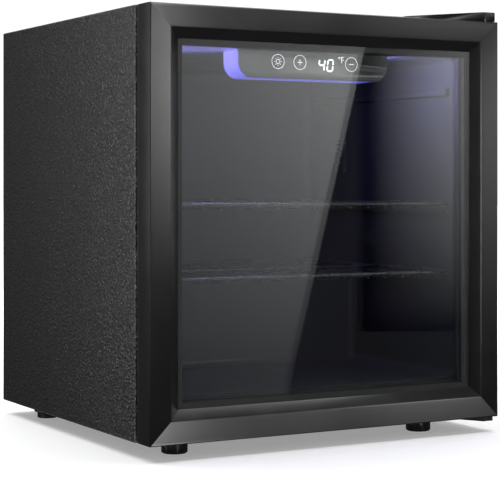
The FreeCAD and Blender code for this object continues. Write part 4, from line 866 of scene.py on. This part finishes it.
# %% Cross-head screw tree
cross_screw, arrives, leaves = new_shape_tree(
    "Cross-Head Screw",
    {"Axis": ("Vector", (0.0, 0.0, 1.0)), "Head Radius": ("Float", 0.004), "Head Height": ("Float", 0.0024),
     "Shank Radius": ("Float", 0.0018), "Shank Length": ("Float", 0.010), "Seed": ("Int", 4)})
ball = add(cross_screw, "GeometryNodeMeshUVSphere", {"Segments": 32, "Rings": 20, "Radius": 1.0})
position = add(cross_screw, "GeometryNodeInputPosition")
spot = add(cross_screw, "ShaderNodeSeparateXYZ", {0: position.outputs[0]})
flat_spot = combine(cross_screw, spot.outputs[0], spot.outputs[1])
flat_length = add(cross_screw, "ShaderNodeVectorMath", {0: flat_spot}, operation="LENGTH").outputs["Value"]
outward = math_node(cross_screw, "POWER", math_node(cross_screw, "MAXIMUM", flat_length, 0.001), -0.62)
outward = math_node(cross_screw, "MULTIPLY", outward, arrives["Head Radius"])
lifted = math_node(cross_screw, "POWER", math_node(cross_screw, "MAXIMUM", spot.outputs[2], 0.0), 0.8)
lifted = math_node(cross_screw, "MULTIPLY", lifted, arrives["Head Height"])
pan_spot = combine(cross_screw, math_node(cross_screw, "MULTIPLY", spot.outputs[0], outward),
                   math_node(cross_screw, "MULTIPLY", spot.outputs[1], outward), lifted)
pan = add(cross_screw, "GeometryNodeSetPosition", {"Geometry": ball.outputs[0], "Position": pan_spot})
merged = add(cross_screw, "GeometryNodeMergeByDistance", {"Geometry": pan.outputs[0], "Distance": 0.000001})
long_side = math_node(cross_screw, "MULTIPLY", arrives["Head Radius"], 1.15)
short_side = math_node(cross_screw, "MULTIPLY", arrives["Head Radius"], 0.22)
bars = []
for sides in ((long_side, short_side), (short_side, long_side)):
    bar_size = combine(cross_screw, *sides, arrives["Head Height"])
    bar = add(cross_screw, "GeometryNodeMeshCube", {"Size": bar_size})
    bars.append(add(cross_screw, "GeometryNodeTransform",
                    {"Geometry": bar.outputs[0],
                     "Translation": combine(cross_screw, 0.0, 0.0, arrives["Head Height"])}).outputs[0])
recessed = add(cross_screw, "GeometryNodeMeshBoolean", {0: merged.outputs[0]}, operation="DIFFERENCE",
               solver="EXACT")
recessed.inputs["Self Intersection"].default_value = True
cross_screw.links.new(joined(cross_screw, *bars), recessed.inputs[1])
shank = add(cross_screw, "GeometryNodeMeshCylinder",
            {"Vertices": 16, "Radius": arrives["Shank Radius"], "Depth": arrives["Shank Length"]})
sunk_shank = raised(cross_screw, shank.outputs[0], arrives["Shank Length"], -0.498)
one = joined(cross_screw, recessed.outputs[0], sunk_shank)
aimed = add(cross_screw, "FunctionNodeAlignRotationToVector", {"Vector": arrives["Axis"]}, axis="Z")
placed = add(cross_screw, "GeometryNodeInstanceOnPoints",
             {"Points": arrives["Geometry"], "Instance": one, "Rotation": aimed.outputs[0]})
spin = add(cross_screw, "FunctionNodeRandomValue", {"Seed": arrives["Seed"]}, data_type="FLOAT")
spin.inputs[3].default_value = math.pi / 2
turned = add(cross_screw, "GeometryNodeRotateInstances",
             {"Instances": placed.outputs[0], "Rotation": combine(cross_screw, 0.0, 0.0, spin.outputs[1])})
finish_tree(cross_screw, turned.outputs[0], zinc, leaves)
print(cross_screw.name, "has", len(cross_screw.nodes), "nodes")

# %% [markdown]
# ## Where the screws go
# The CAD model already has a simple solid for every screw. The centre of each gives the place,
# and the direction it faces gives the axis.


# %% Place the screws
def centres_of(node, axis):
    """The centre of each loose part of a CAD node, on the head's side along an axis."""
    shape = bmesh.new()
    shape.from_mesh(nodes[node].data)
    bmesh.ops.remove_doubles(shape, verts=shape.verts, dist=MERGE_DISTANCE)
    unseen, found = set(shape.verts), []
    while unseen:
        island, front = [], [unseen.pop()]
        while front:
            vertex = front.pop()
            island.append(vertex.co.copy())
            for edge in vertex.link_edges:
                other = edge.other_vert(vertex)
                if other in unseen:
                    unseen.remove(other)
                    front.append(other)
        low = Vector([min(point[i] for point in island) for i in range(3)])
        high = Vector([max(point[i] for point in island) for i in range(3)])
        middle = (low + high) / 2
        for i in range(3):
            if axis[i]:
                middle[i] = high[i] if axis[i] > 0 else low[i]
        found.append(tuple(middle))
    shape.free()
    return sorted(found)


screw_sets = (("back_screws", (0.0, 1.0, 0.0), 4.0, 2.4, 1.75, "zinc_steel"),
              ("top_hinge_screws", (0.0, 0.0, 1.0), 5.0, 2.6, 2.4, "zinc_steel"),
              ("bottom_hinge_screws", (0.0, 0.0, -1.0), 4.5, 2.6, 2.4, "zinc_steel"))
for node, axis, head, height, shank_radius, slot in screw_sets:
    seats = [tuple(Vector(tip) - Vector(axis) * height * MM) for tip in centres_of(node, axis)]
    low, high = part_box(node)
    length = max(abs(axis[i]) * (high[i] - low[i]) for i in range(3)) - height * MM
    mesh = grown(node, cross_screw, seats,
                 {"Axis": axis, "Head Radius": head * MM, "Head Height": height * MM,
                  "Shank Radius": shank_radius * MM, "Shank Length": length})
    finished_piece(node + "_crossed", mesh, zinc, "cabinet", (node,), 30)

# %% [markdown]
# ## Hex bolts
# The compressor stands on four bolts with a washer each. The head is a six-sided prism cut by a
# ball, which leaves the rounded chamfer that a forged head has.

# %% Hex bolt tree
hex_bolt, arrives, leaves = new_shape_tree(
    "Hex Bolt",
    {"Head Radius": ("Float", 0.0055), "Head Height": ("Float", 0.0028), "Washer Radius": ("Float", 0.006),
     "Washer Height": ("Float", 0.0007), "Shank Radius": ("Float", 0.003), "Shank Length": ("Float", 0.013)})
prism = add(hex_bolt, "GeometryNodeMeshCylinder",
            {"Vertices": 6, "Radius": arrives["Head Radius"], "Depth": arrives["Head Height"]})
cap_radius = math_node(hex_bolt, "MULTIPLY", arrives["Head Radius"], 1.02)
cap = add(hex_bolt, "GeometryNodeMeshUVSphere", {"Segments": 32, "Rings": 24, "Radius": cap_radius})
low_cap = raised(hex_bolt, cap.outputs[0], arrives["Head Height"], -0.55, (1.02, 1.02, 0.95))
chamfered = add(hex_bolt, "GeometryNodeMeshBoolean", {}, operation="INTERSECT", solver="EXACT")
hex_bolt.links.new(prism.outputs[0], chamfered.inputs[1])
hex_bolt.links.new(low_cap, chamfered.inputs[1])
head_up = add(hex_bolt, "GeometryNodeTransform",
              {"Geometry": chamfered.outputs[0],
               "Translation": combine(hex_bolt, 0.0, 0.0, math_node(
                   hex_bolt, "ADD", arrives["Washer Height"],
                   math_node(hex_bolt, "MULTIPLY", arrives["Head Height"], 0.5)))})
washer = add(hex_bolt, "GeometryNodeMeshCylinder",
             {"Vertices": 32, "Radius": arrives["Washer Radius"], "Depth": arrives["Washer Height"]})
washer_up = raised(hex_bolt, washer.outputs[0], arrives["Washer Height"], 0.5)
stem = add(hex_bolt, "GeometryNodeMeshCylinder",
           {"Vertices": 20, "Radius": arrives["Shank Radius"], "Depth": arrives["Shank Length"]})
stem_down = raised(hex_bolt, stem.outputs[0], arrives["Shank Length"], -0.499)
bolt = joined(hex_bolt, head_up.outputs[0], washer_up, stem_down)
bolts = add(hex_bolt, "GeometryNodeInstanceOnPoints", {"Points": arrives["Geometry"], "Instance": bolt})
finish_tree(hex_bolt, bolts.outputs[0], zinc, leaves)
tips = centres_of("compressor_bolts", (0.0, 0.0, 1.0))
low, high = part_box("compressor_bolts")
bolt_head = 3.5 * MM
mesh = grown("compressor_bolts", hex_bolt, [(x, y, z - bolt_head) for x, y, z in tips],
             {"Shank Length": high.z - low.z - bolt_head})
finished_piece("compressor_hex_bolts", mesh, zinc, "cabinet", ("compressor_bolts",), 30)

# %% [markdown]
# ## Legends on the control unit
# The fascia shows a two-digit temperature made of glowing bars, and three touch keys drawn as
# rings: light, plus and minus. A bar is a flat six-sided slab, a ring is a band between two
# circles, and every mark stands a tenth of a millimetre proud, as printed windows do.


# %% Mark helpers
fascia_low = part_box("control_fascia")[0]
mark_back = fascia_low.y + 0.02 * MM
mark_front = fascia_low.y - 0.10 * MM
legend = bmesh.new()


def slab(shape, outline):
    """A flat mark: an outline (x, z) given a small thickness."""
    front = [shape.verts.new((x, mark_front, z)) for x, z in outline]
    back = [shape.verts.new((x, mark_back, z)) for x, z in outline]
    shape.faces.new(front)
    shape.faces.new(list(reversed(back)))
    for index in range(len(outline)):
        following = (index + 1) % len(outline)
        shape.faces.new((front[index], back[index], back[following], front[following]))


def bar_mark(shape, start, end, thick):
    """A bar with pointed ends between two places, in millimetres."""
    start, end = Vector(start) * MM, Vector(end) * MM
    along = (end - start).normalized() * thick * MM / 2
    side = Vector((-along.y, along.x))
    slab(shape, [start, start + along + side, end - along + side, end, end - along - side,
                 start + along - side])


def ring_mark(shape, centre, radius, thick, segments):
    """A band between two circles, closed all round."""
    rows = []
    for reach, depth in ((radius, mark_front), (radius, mark_back), (radius - thick, mark_back),
                         (radius - thick, mark_front)):
        rows.append([shape.verts.new(((centre[0] + reach * math.cos(turn * math.tau / segments)) * MM, depth,
                                      (centre[1] + reach * math.sin(turn * math.tau / segments)) * MM))
                     for turn in range(segments)])
    for index in range(4):
        inner, outer = rows[index], rows[(index + 1) % 4]
        for turn in range(segments):
            after = (turn + 1) % segments
            shape.faces.new((inner[turn], inner[after], outer[after], outer[turn]))


def upright_bar(shape, start, end, thick):
    """A square-ended bar, in millimetres."""
    start, end = Vector(start) * MM, Vector(end) * MM
    side = (end - start).normalized().orthogonal() * thick * MM / 2
    slab(shape, [start + side, end + side, end - side, start - side])


# %% [markdown]
# ## Draw the legends
# Each figure lights some of seven bars and leans a little. The keys are one ring each with a
# simple sign inside.

# %% Digits, degree sign and keys
# All in millimetres: X from the middle of the cabinet, Z from the floor.
icon_z = 445.2
lamp_key_x, plus_key_x, minus_key_x = -49.9, -20.2, 51.2
figure_size = (436.2, 7.4, 13.4, 1.9)  # low edge, width, height, thickness of a bar
SEGMENTS = {"4": "fgbc", "0": "abcdef"}


def digit(shape, figure, left, low, width, height, thick, slant=0.12):
    """A seven-bar figure, leaning a little."""
    middle, right, high = low + height / 2, left + width, low + height
    gap = 0.35
    ends = {"a": ((left, high), (right, high)), "b": ((right, high), (right, middle)),
            "c": ((right, middle), (right, low)), "d": ((left, low), (right, low)),
            "e": ((left, middle), (left, low)), "f": ((left, high), (left, middle)),
            "g": ((left, middle), (right, middle))}
    for name in SEGMENTS[figure]:
        start, end = (Vector(point) for point in ends[name])
        pull = (end - start).normalized() * gap
        start, end = start + pull, end - pull
        lean = [(point.x + slant * (point.y - low), point.y) for point in (start, end)]
        bar_mark(shape, lean[0], lean[1], thick)


digit(legend, "4", 5.2, *figure_size)
digit(legend, "0", 17.0, *figure_size)
ring_mark(legend, (34.3, 452.1), 1.4, 0.45, 24)
for start, end in (((37.4, 446.2), (37.4, 453.6)), ((37.0, 453.2), (41.0, 453.2)),
                   ((37.4, 450.0), (40.4, 450.0))):
    upright_bar(legend, start, end, 0.6)
for key_x in (lamp_key_x, plus_key_x, minus_key_x):
    ring_mark(legend, (key_x, icon_z), 8.5, 0.42, 64)
upright_bar(legend, (-23.6, icon_z), (-16.8, icon_z), 0.45)
for low_z, high_z in ((icon_z - 3.4, icon_z - 0.24), (icon_z + 0.24, icon_z + 3.4)):
    upright_bar(legend, (plus_key_x, low_z), (plus_key_x, high_z), 0.45)
upright_bar(legend, (47.8, icon_z), (54.6, icon_z), 0.5)
ring_mark(legend, (lamp_key_x, icon_z), 2.6, 0.4, 32)
for turn in range(8):
    angle = turn * math.tau / 8
    reach = Vector((math.cos(angle), math.sin(angle)))
    bulb = Vector((lamp_key_x, icon_z))
    upright_bar(legend, bulb + reach * 3.5, bulb + reach * 5.1, 0.42)
legend_mesh = mesh_from(legend, "legend")
finished_piece("control_legends", legend_mesh, legend_glow, "cabinet")
print("legends:", len(legend_mesh.polygons), "faces")

# %% [markdown]
# ## Clean copies of the curved CAD pieces
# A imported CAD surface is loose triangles, so its bends look faceted and its folds look knife
# sharp. A copy is merged into one surface, its flat parts are joined, and folds get a small
# rounding that catches the light, as pressed steel and moulded plastic do.

# %% Sheet steel and plastics
refined = (
    ("outer_shell", embossed_steel, "shell_paint", "cabinet", 0.0),
    ("base_pan", sheet_paint, "shell_paint", "cabinet", 0.2),
    ("bay_wall", sheet_paint, "shell_paint", "cabinet", 0.2),
    ("back_panel", sheet_paint, "shell_paint", "cabinet", 0.25),
    ("compressor_base", thick_steel, "base_steel", "cabinet", 0.3),
    ("bottom_hinge_plate", thick_steel, "base_steel", "cabinet", 0.35),
    ("top_hinge_plate", thick_steel, "base_steel", "cabinet", 0.35),
    ("inner_liner", liner_plastic, "liner_plastic", "cabinet", 0.0),
    ("top_hinge_cover", gloss_plastic, "black_plastic", "cabinet", 0.5),
    ("front_foot_left", black_plastic, "black_plastic", "left_foot", 0.4),
    ("front_foot_right", black_plastic, "black_plastic", "right_foot", 0.4),
    ("rear_feet", black_plastic, "black_plastic", "cabinet", 0.5),
    ("relay_cover", black_plastic, "black_plastic", "cabinet", 0.8),
    ("drip_tray", black_plastic, "black_plastic", "cabinet", 0.4),
    ("drain_tube", black_plastic, "black_plastic", "cabinet", 0.0),
    ("cord_gland", black_plastic, "black_plastic", "cabinet", 0.4),
    ("power_box", black_plastic, "black_plastic", "cabinet", 0.6),
    ("upper_bush", black_plastic, "black_plastic", "door", 0.0),
    ("lower_bush", black_plastic, "black_plastic", "door", 0.0),
    ("sensor_cover", liner_plastic, "black_plastic", "cabinet", 0.5),
    ("control_fascia", fascia_plastic, "control_plastic", "cabinet", 0.4),
    ("control_casing", casing_painted_lamp_light, "lens_plastic", "cabinet", 0.0),
    ("lamp_lens", lamp_glow, "lens_plastic", "cabinet", 0.0),
    ("door_inner_frame", inner_plastic, "inner_frame_plastic", "door", 0.3),
    ("compressor_mounts", mount_rubber, "seal_rubber", "cabinet", 0.5),
    ("compressor_shell", compressor_paint, "compressor_paint", "cabinet", 0.0),
)
for node, material, slot, body, bevel in refined:
    piece = refined_copy(node, material, body, bevel * MM)
    print(piece.name, len(piece.data.polygons), "faces")

# %% [markdown]
# ## Finishes for the CAD pieces that stay
# Pipes, boards, panes and hidden parts already have their true shape and smooth surfaces, so they
# only swap their plain material for a finish.

# %% Finish the remaining nodes
kept = {
    "outer_glass": pane_glass, "inner_glass": pane_glass, "glazing_spacer": rolled_aluminium,
    "evaporator_plate": rolled_aluminium, "seal_magnets": magnet_ferrite, "corner_keys": inner_plastic,
    "insulation_foam": foam_skin, "foot_inserts": zinc, "motor_and_pump": motor_iron,
    "condenser_coil": copper, "discharge_tube": copper, "suction_tube": copper, "return_tube": copper,
    "capillary_tube": copper, "filter_drier": copper, "touch_board": board, "display_module": board,
    "lamp_board": board, "power_board": board, "temperature_sensor": zinc,
}
for name, material in kept.items():
    for material_slot in nodes[name].material_slots:
        material_slot.material = material
print(len(kept), "nodes keep their mesh")

# %% [markdown]
# ## Studio
# The set is a pale floor in a white room. A tall graded panel stands where the glass mirrors it,
# tilted so that its edge crosses the pane as a slanting line, and a second panel lifts the upper
# right. One narrow strip lights the left ends of the door's rails, another picks out the flecks of
# the embossed side. Broad lights hang overhead and stand at the left, right and back, and small
# cold ones carry the lamp's glow to the ceiling and the casing's ends.


# %% Lights
def softbox(name, centre, out, across, upright, width, height, radiance, colour=(1, 1, 1)):
    """A flat light with its back along `out` and its own left-right and up directions."""
    light = bpy.data.lights.new(name, "AREA")
    light.shape = "RECTANGLE"
    light.size, light.size_y = width, height
    light.energy = radiance * math.pi * width * height
    light.color = colour
    lamp = bpy.data.objects.new(name, light)
    turn = Matrix([Vector(side).normalized() for side in (across, upright, out)]).transposed()
    lamp.matrix_world = Matrix.Translation(centre) @ turn.to_4x4()
    lamp.visible_camera = False
    scene.collection.objects.link(lamp)
    return lamp


def aimed_softbox(name, centre, target, width, height, radiance):
    """A softbox that faces a target."""
    out = (Vector(centre) - Vector(target)).normalized()
    across = Vector((0, 0, 1)).cross(out)
    if across.length < 0.01:
        across = Vector((1, 0, 0))
    upright = out.cross(across)
    return softbox(name, centre, out, across, upright, width, height, radiance)


away = Vector((0.407, -0.914, 0)).normalized()
rightward = Vector((0.914, 0.407, 0)).normalized()
tilt = math.radians(12.6)
edge_up = rightward * math.sin(tilt) + Vector((0, 0, math.cos(tilt)))
edge_across = rightward * math.cos(tilt) - Vector((0, 0, math.sin(tilt)))
mirror_foot = Vector((0.773, -1.952, 0))
edge_point = mirror_foot + rightward * 0.261 + Vector((0, 0, 0.20))
veil_width, veil_height = 1.25, 1.5


def graded_panel(name, centre, across, upright, width, height, levels, sides):
    """A light panel that grows brighter upwards and to one side, as a flagged softbox does.

    levels is (low, high, weak, strong) along Z; sides is the same along `rightward`."""
    corners = [centre + across * width / 2 * i + upright * height / 2 * j
               for i, j in ((-1, -1), (1, -1), (1, 1), (-1, 1))]
    mesh = bpy.data.meshes.new(name)
    mesh.from_pydata(corners, [], [(3, 2, 1, 0)])
    material = bpy.data.materials.new(name)
    material.use_nodes = True
    tree = material.node_tree
    tree.nodes.clear()
    place = add(tree, "ShaderNodeTexCoord").outputs["Object"]
    level_here = add(tree, "ShaderNodeSeparateXYZ", {0: place}).outputs[2]
    side_here = add(tree, "ShaderNodeVectorMath", {0: place, 1: tuple(rightward)},
                    operation="DOT_PRODUCT").outputs["Value"]
    low, high, weak, strong = levels
    rise = math_node(tree, "POWER", remap(tree, level_here, low, high), 1.2)
    rise = math_node(tree, "ADD", math_node(tree, "MULTIPLY", rise, strong - weak), weak)
    power = math_node(tree, "MULTIPLY", rise, remap(tree, side_here, *sides))
    glow = add(tree, "ShaderNodeEmission", {"Color": (1, 1, 1, 1), "Strength": power})
    add(tree, "ShaderNodeOutputMaterial", {"Surface": glow.outputs[0]})
    mesh.materials.append(material)
    panel = bpy.data.objects.new(name, mesh)
    panel.visible_camera = False
    panel.visible_shadow = False
    scene.collection.objects.link(panel)
    return panel


foot_side = mirror_foot.dot(rightward)
graded_panel("window_softbox", edge_point - edge_across * veil_width / 2, edge_across, edge_up,
             veil_width, veil_height, (-0.35, 0.65, 0.04, 1.25),
             (foot_side - 0.15, foot_side + 0.3, 0.45, 1.15))
high_point = mirror_foot + rightward * 0.85 + Vector((0, 0, 0.65))
graded_panel("high_right_softbox", high_point, rightward, Vector((0, 0, 1)), 1.0, 1.4,
             (-0.05, 0.95, 0.0, 3.2), (foot_side + 0.38, foot_side + 0.62, 0.0, 1.0))
strip_point = mirror_foot - rightward * 0.95 + away * -0.03 + Vector((0, 0, 0.3))
edge_strip = graded_panel("edge_strip", strip_point, rightward, Vector((0, 0, 1)), 0.4, 1.5,
                          (-0.35, 0.6, 4.0, 8.0), (foot_side, foot_side + 1, 1.0, 1.0))
edge_strip.visible_diffuse = edge_strip.visible_transmission = False
graded_panel("sparkle_strip", Vector((-0.80, 0.08, 0.35)), Vector((0, 1, 0)), Vector((0, 0, 1)), 0.10, 0.9,
             (-0.1, 0.5, 6.0, 11.0), (foot_side, foot_side + 1, 1.0, 1.0)).visible_diffuse = False
aimed_softbox("left_front_strip", (-2.03, -1.10, 0.6), (-0.236, -0.22, 0.3), 0.4, 1.8, 2.5)
aimed_softbox("overhead_softbox", (-0.1, 0.6, 2.6), (-0.1, 0.6, 0), 4.0, 3.6, 3.3)
aimed_softbox("left_softbox", (-1.9, 1.3, 0.9), (-0.236, 0.0, 0.3), 1.4, 1.8, 0.72)
aimed_softbox("back_softbox", (0.9, 2.2, 1.0), (0, 0.2, 0.25), 1.8, 1.6, 1.2)
aimed_softbox("right_softbox", (2.4, 0.2, 0.8), (0.236, 0, 0.3), 1.4, 1.6, 1.0)
cold = (0.36, 0.32, 1.0)
softbox("lamp_light", (lamp_middle.x, lamp_middle.y, lamp_low.z - 1 * MM), (0, 0, 1), (1, 0, 0), (0, 1, 0),
        0.17, 0.014, 60.0, cold).visible_transmission = False
casing_low, casing_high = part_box("control_casing")
for side, wall_x in ((-1, casing_low.x - 1 * MM), (1, casing_high.x + 1 * MM)):
    leak = softbox("casing_side_light_" + ("left" if side < 0 else "right"),
                   (wall_x, (casing_low.y + casing_high.y) / 2, casing_high.z - 14 * MM),
                   (-side, 0, 0), (0, side, 0), (0, 0, 1), 0.03, 0.02, 330.0, cold)
    leak.visible_transmission = leak.visible_glossy = False
casing_y = (casing_low.y + casing_high.y) / 2
wash = softbox("ceiling_wash", (casing_low.x - 70 * MM, casing_y, casing_high.z - 40 * MM),
               (0, 0, -1), (1, 0, 0), (0, -1, 0), 0.06, 0.08, 70.0, cold)
wash.visible_transmission = wash.visible_glossy = False

# %% [markdown]
# ## Floor and room
# The floor carries painted light: it glows, dimly near the fridge so that the glow lifts its
# shadow, and brighter with distance until it is white. It is left out of mirror reflections, so it
# never shows as a band on the door. The room is white where the camera or a clear pane looks at it
# and dim for everything else, so that the black paint stays black.

# %% Floor and room
floor_material, tree, shader, place = finish_material("pale_studio_floor", Base_Color=(0.8, 0.8, 0.8, 1),
                                                      Roughness=0.7)
shader.inputs["Specular IOR Level"].default_value = 0.2
# Painted light: an emission of 0.3 near the fridge lifts its shadow, rising to 1.3, white, far away.
shader.inputs["Emission Strength"].default_value = 1.0
far = add(tree, "ShaderNodeVectorMath", {0: place}, operation="LENGTH").outputs["Value"]
tree.links.new(blend(tree, remap(tree, far, 0.5, 1.6), grey(0.3), grey(1.3)), shader.inputs["Emission Color"])
mirrored = math_node(tree, "GREATER_THAN", add(tree, "ShaderNodeLightPath").outputs["Glossy Depth"], 0.5)
absent = add(tree, "ShaderNodeBsdfTransparent")
unless_mirrored = add(tree, "ShaderNodeMixShader", {0: mirrored, 1: shader.outputs[0], 2: absent.outputs[0]})
use_surface(tree, unless_mirrored.outputs[0])
floor_shape = bmesh.new()
bmesh.ops.create_grid(floor_shape, x_segments=8, y_segments=8, size=14)
floor = bpy.data.objects.new("studio_floor", mesh_from(floor_shape, "studio_floor"))
floor.data.materials.append(floor_material)
scene.collection.objects.link(floor)
floor.visible_glossy = False

world = bpy.data.worlds.new("white_room")
world.use_nodes = True
scene.world = world
tree = world.node_tree
tree.nodes.clear()
path = add(tree, "ShaderNodeLightPath")
through_glass = math_node(tree, "MULTIPLY", path.outputs["Is Transmission Ray"],
                          math_node(tree, "LESS_THAN", path.outputs["Glossy Depth"], 0.5))
seen = math_node(tree, "MAXIMUM", path.outputs["Is Camera Ray"], through_glass)
dim_room = add(tree, "ShaderNodeBackground", {"Color": (0.04, 0.04, 0.043, 1), "Strength": 1.0})
white_room = add(tree, "ShaderNodeBackground", {"Color": (1, 1, 1, 1), "Strength": 1.05})
chosen = add(tree, "ShaderNodeMixShader", {0: seen, 1: dim_room.outputs[0], 2: white_room.outputs[0]})
add(tree, "ShaderNodeOutputWorld", {"Surface": chosen.outputs[0]})
print("floor and room ready")
